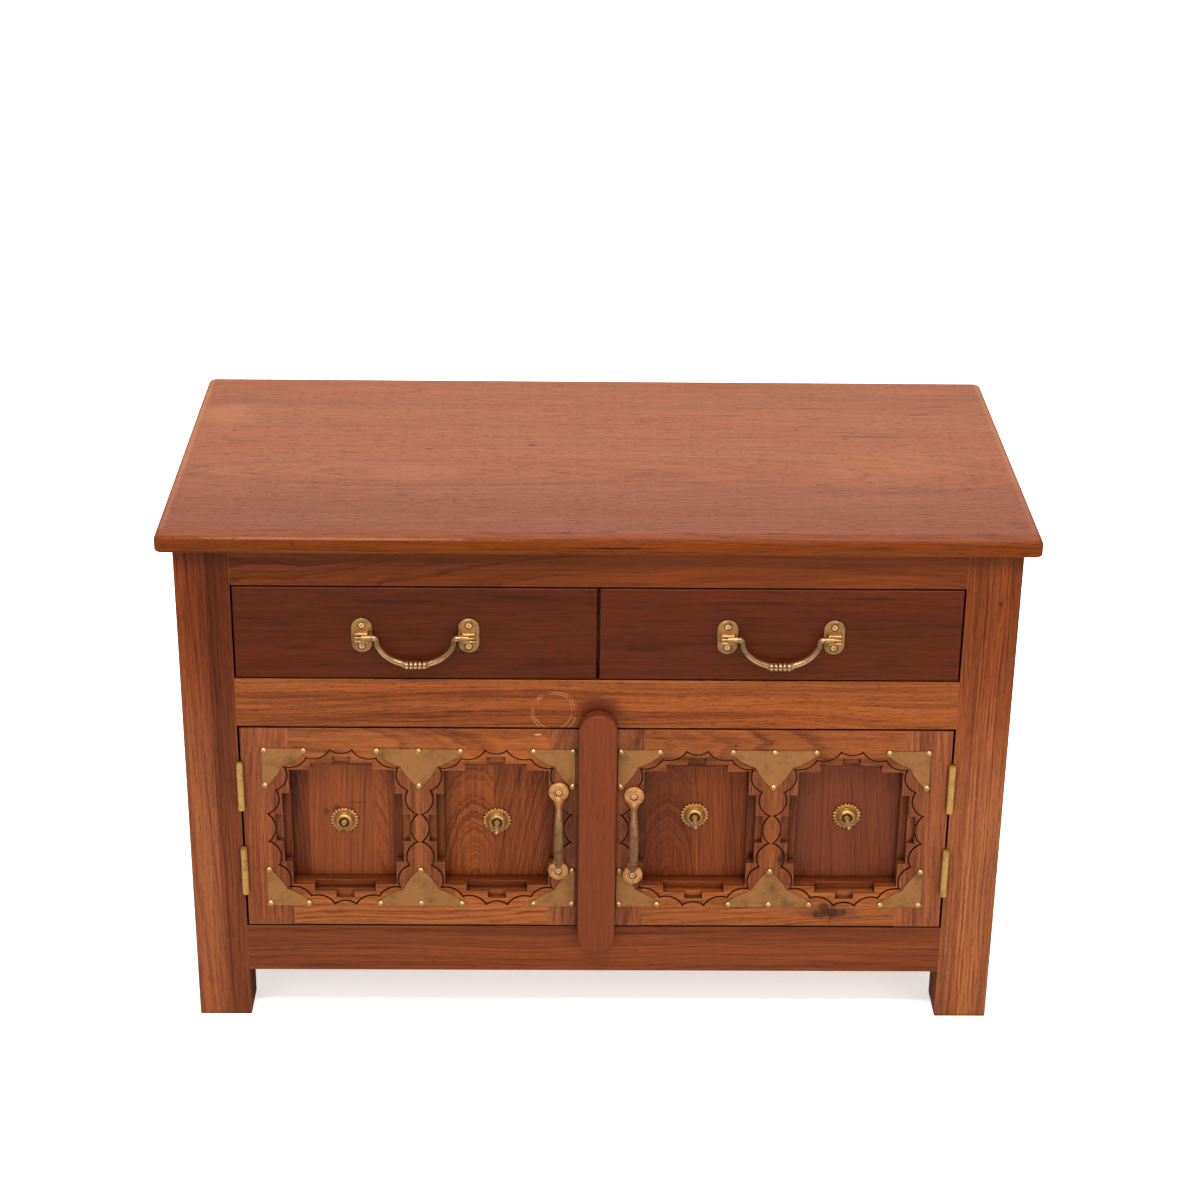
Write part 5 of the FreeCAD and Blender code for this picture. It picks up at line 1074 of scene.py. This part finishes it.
class CABINET_OT_handles(bpy.types.Operator):
    """Model the cast handles of the doors"""
    bl_idname = "cabinet.handles"
    bl_label = "Door handles"

    def execute(self, context):
        fittings, colours = context.scene.cabinet_fittings, context.scene.cabinet_colours
        foot, grip = fittings.foot_radius, fittings.grip_radius
        rim = foot / MM
        foot_profile = [(0.0, rim), (2.2, rim), (3.1, rim - 0.4), (3.6, rim - 1.3), (3.6, 5.0), (3.3, 4.7),
                        (3.3, 4.3), (3.6, 4.0), (3.6, 3.4), (3.2, 3.05), (1.4, 3.05)]

        # The upper half of the grip in millimetres: how far out, how far up, and its radius there
        half = [(0.3, 35.4, 5.4), (1.8, 35.4, 5.3), (3.0, 35.2, 4.9), (4.6, 34.8, 4.2), (6.6, 34.2, 3.7),
                (9.0, 33.3, 3.45), (11.6, 32.1, 3.4), (14.2, 30.5, 3.5), (16.6, 28.5, 3.65),
                (18.8, 26.2, 3.85), (20.6, 23.6, 4.05), (22.2, 20.5, 4.2), (23.5, 17.0, 4.35),
                (24.5, 13.0, 4.5), (25.1, 8.8, 4.6), (25.4, 4.6, 4.6), (25.4, 1.5, 4.6)]
        whole = half + [(away, -up, thick) for away, up, thick in reversed(half)]
        for hand in HANDS:
            low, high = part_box(f"door_{hand}_handle")
            x, middle = (low.x + high.x) / 2, (low.z + high.z) / 2
            spread = (high.z - low.z) / 2 - foot
            seats = [(x, FRONT, middle + way * spread) for way in (-1, 1)]
            material = brass(f"handle_{hand}_brass", shaded((1.00, 0.87, 0.61), colours.cast_brass), 190.0,
                             0.22, 0.04, metallic=0.45, seats=seats,
                             fade=(1, FRONT - 0.0044, FRONT - 0.016, (0.41, 0.42, 0.47)))
            feet = []
            for way, seat in zip((-1, 1), seats):
                centre = Vector(seat)
                piece = lathe(f"handle_foot_{way}", centre, OUTWARD, foot_profile)
                bpy.ops.mesh.select_all(action="SELECT")
                bpy.ops.mesh.bisect(plane_co=centre - Vector((0.0, 0.0, way * FOOT_CUT)),
                                    plane_no=(0.0, 0.0, float(way)), use_fill=True, clear_inner=True)
                feet.append(close_piece(piece))
            stand, swell = (FRONT - low.y - grip) / half[-1][0], grip / half[-1][2]
            line = [(Vector((x, FRONT - stand * away, middle + up * MM)), thick * swell)
                    for away, up, thick in whole]
            bar = close_piece(cast_bar("handle_grip", line, "X", sides=24), 60)
            handle = join(f"door_{hand}_cast_handle", bar, *feet)
            hand_over(dress(handle, material), f"door_{hand}", f"door_{hand}_handle")
        return {"FINISHED"}


class CABINET_OT_bails(bpy.types.Operator):
    """Model the beaded bails of the drawers"""
    bl_idname = "cabinet.bails"
    bl_label = "Drawer bails"

    def execute(self, context):
        fittings, colours = context.scene.cabinet_fittings, context.scene.cabinet_colours
        material = brass("bail_brass", shaded((0.72, 0.79, 0.74), colours.cast_brass), 140.0, 0.06, -0.04,
                         relief=0.00005, metallic=0.8)
        thick, crown = fittings.bail_radius / MM, fittings.bail_bead_radius / MM

        # One half in millimetres, from the pin to the beads: how far across, how far down, and its radius
        half = [(45.7, 0.0, 1.55), (41.2, 0.0, 1.55), (41.15, 0.0, 2.5), (40.9, 0.0, 2.9),
                (39.0, 0.0, 2.9), (37.9, -0.5, 2.8), (37.1, -1.8, 2.6), (36.6, -3.6, 2.4)]
        wide, drop, thin, steps = 37.6, 28.5, 2.35, 11
        for step in range(1, steps + 1):
            lean = math.radians(9.0 + 5.8 * step)
            half.append((wide * math.cos(lean), -drop * math.sin(lean), thin + (thick - thin) * step / steps))
        half += [(11.4, -28.2, thick), (10.7, -drop, thick), (10.5, -drop, thick - 0.4)]
        beads = [(10.5 - 4.2 * bead - across, -drop, crown - less) for bead in range(5)
                 for across, less in ((0.25, 0.85), (0.75, 0.30), (1.4, 0.05), (2.1, 0.0), (2.8, 0.05),
                                      (3.45, 0.30), (3.95, 0.85), (4.2, 1.5))]
        whole = half + beads[:-1] + [(-across, down, radius) for across, down, radius in reversed(half)]
        pattern = None
        for hand in HANDS:
            name = f"drawer_{hand}_beaded_bail"
            low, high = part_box(f"drawer_{hand}_bail")
            centre = Vector(((low.x + high.x) / 2, (low.y + high.y) / 2, high.z - EYE))
            if pattern:
                bail = copy_piece(pattern, name, centre - start)
            else:
                line = [(centre + Vector((across * MM, 0.0, down * MM)), radius * MM)
                        for across, down, radius in whole]
                bail = close_piece(cast_bar(name, line, "Y", crease=0.35, sides=16), 50)
                pattern, start = bail, centre
            hand_over(dress(bail, material), f"bail_{hand}", f"drawer_{hand}_bail")
        return {"FINISHED"}


def softbox(name, place, aim, size, energy):
    bpy.ops.object.light_add(type="AREA", location=place)
    light = bpy.context.object
    light.name = name
    light.data.shape = "SQUARE"
    light.data.size = size
    light.data.energy = energy
    light.rotation_euler = (Vector(aim) - Vector(place)).to_track_quat("-Z", "Y").to_euler()
    return light


class CABINET_OT_stage(bpy.types.Operator):
    """Lay the pale floor, hang the soft lights and set the camera"""
    bl_idname = "cabinet.stage"
    bl_label = "Stage"

    def execute(self, context):
        stage = context.scene.cabinet_stage

        # A floor that glows a little, and is darker where the cabinet's gloss would mirror it
        bpy.ops.object.select_all(action="DESELECT")
        bpy.ops.mesh.primitive_plane_add(size=stage.floor_size)
        floor = context.object
        floor.name = "floor"
        material, tree, shader, place = new_material("pale_floor")
        mirrored = tree.nodes.new("ShaderNodeLightPath").outputs["Is Glossy Ray"]
        shade = blend_colour(tree, mirrored, (0.95, 0.95, 0.95, 1.0), (0.16, 0.15, 0.14, 1.0))
        tree.links.new(shade, shader.inputs["Base Color"])
        shader.inputs["Roughness"].default_value = 0.9
        shader.inputs["Specular IOR Level"].default_value = 0.1
        shader.inputs["Emission Color"].default_value = (1.0, 1.0, 1.0, 1.0)
        seen = tree.nodes.new("ShaderNodeLightPath").outputs["Is Camera Ray"]
        glow = muladd(tree, mirrored, -0.30, muladd(tree, seen, 0.25, 0.30))
        tree.links.new(glow, shader.inputs["Emission Strength"])
        floor.data.materials.append(material)

        # A white sky that looks white, lights at its own strength and is dimmer in the gloss
        world = bpy.data.worlds.new("studio")
        world.use_nodes = True
        tree = world.node_tree
        back = tree.nodes["Background"]
        back.inputs["Color"].default_value = (1.0, 1.0, 1.0, 1.0)
        rays = tree.nodes.new("ShaderNodeLightPath").outputs
        sky = muladd(tree, rays["Is Glossy Ray"], -0.45 * stage.world_strength, stage.world_strength)
        sky = muladd(tree, rays["Is Camera Ray"], 1.0 - stage.world_strength, sky)
        tree.links.new(sky, back.inputs["Strength"])
        context.scene.world = world

        softbox("overhead", (0.0, 0.2, 3.2), (0.0, 0.0, 0.0), 3.2, stage.top_light)
        strip = softbox("strip", (0.0, -1.7, 2.9), (0.0, -0.2, 0.4), 2.6, stage.strip_light)
        strip.data.shape = "RECTANGLE"
        strip.data.size_y = 0.35
        softbox("key", (-2.2, -3.4, 2.2), (0.0, 0.0, 0.25), 2.2, stage.key_light)
        softbox("fill", (2.6, -3.0, 1.6), (0.0, 0.0, 0.25), 2.2, stage.fill_light)
        softbox("backdrop", (0.0, 5.5, 4.5), (0.0, 6.0, 0.0), 7.0, 5.0 * stage.top_light)

        # The camera's axes: ahead, and across and down in the picture
        pitch, yaw, roll = stage.camera_pitch, stage.camera_yaw, stage.camera_roll
        ahead = Vector((math.sin(yaw) * math.cos(pitch), math.cos(yaw) * math.cos(pitch), -math.sin(pitch)))
        level = Vector((math.cos(yaw), -math.sin(yaw), 0.0))
        plumb = ahead.cross(level)
        across = math.cos(roll) * level + math.sin(roll) * plumb
        down = -math.sin(roll) * level + math.cos(roll) * plumb
        turn = Matrix((across, -down, -ahead)).transposed()
        bpy.ops.object.camera_add(location=stage.camera_place, rotation=turn.to_euler())
        camera = context.object
        camera.data.lens = stage.camera_lens
        camera.data.sensor_width = 36.0
        camera.data.clip_end = 100.0
        context.scene.camera = camera
        context.scene.view_settings.view_transform = "Standard"
        return {"FINISHED"}


STEPS = (CABINET_OT_top, CABINET_OT_frame, CABINET_OT_inside, CABINET_OT_drawer_fronts, CABINET_OT_doors,
         CABINET_OT_flat_brass, CABINET_OT_bosses, CABINET_OT_handles, CABINET_OT_bails, CABINET_OT_stage)
SETTINGS = {"cabinet_colours": CabinetColours, "cabinet_finish": CabinetFinish,
            "cabinet_fittings": CabinetFittings, "cabinet_stage": CabinetStage}


class CABINET_PT_panel(bpy.types.Panel):
    """Lists the steps that dress the cabinet"""
    bl_idname = "CABINET_PT_panel"
    bl_label = "Carved cabinet"
    bl_space_type = "VIEW_3D"
    bl_region_type = "UI"
    bl_category = "Cabinet"

    def draw(self, context):
        for step in STEPS:
            self.layout.operator(step.bl_idname)
        for label in SETTINGS:
            settings = getattr(context.scene, label)
            box = self.layout.box()
            for name in settings.bl_rna.properties.keys():
                if name not in ("rna_type", "name"):
                    box.prop(settings, name)


CLASSES = (*SETTINGS.values(), *STEPS, CABINET_PT_panel)


def register():
    for cls in CLASSES:
        bpy.utils.register_class(cls)
    for name, cls in SETTINGS.items():
        setattr(bpy.types.Scene, name, bpy.props.PointerProperty(type=cls))


def unregister():
    for name in SETTINGS:
        delattr(bpy.types.Scene, name)
    for cls in reversed(CLASSES):
        bpy.utils.unregister_class(cls)


def main():
    """Dresses the cabinet step by step."""
    register()
    bpy.ops.cabinet.top()
    bpy.ops.cabinet.frame()
    bpy.ops.cabinet.inside()
    bpy.ops.cabinet.drawer_fronts()
    bpy.ops.cabinet.doors()
    bpy.ops.cabinet.flat_brass()
    bpy.ops.cabinet.bosses()
    bpy.ops.cabinet.handles()
    bpy.ops.cabinet.bails()
    bpy.ops.cabinet.stage()


if __name__ == "__main__":
    main()
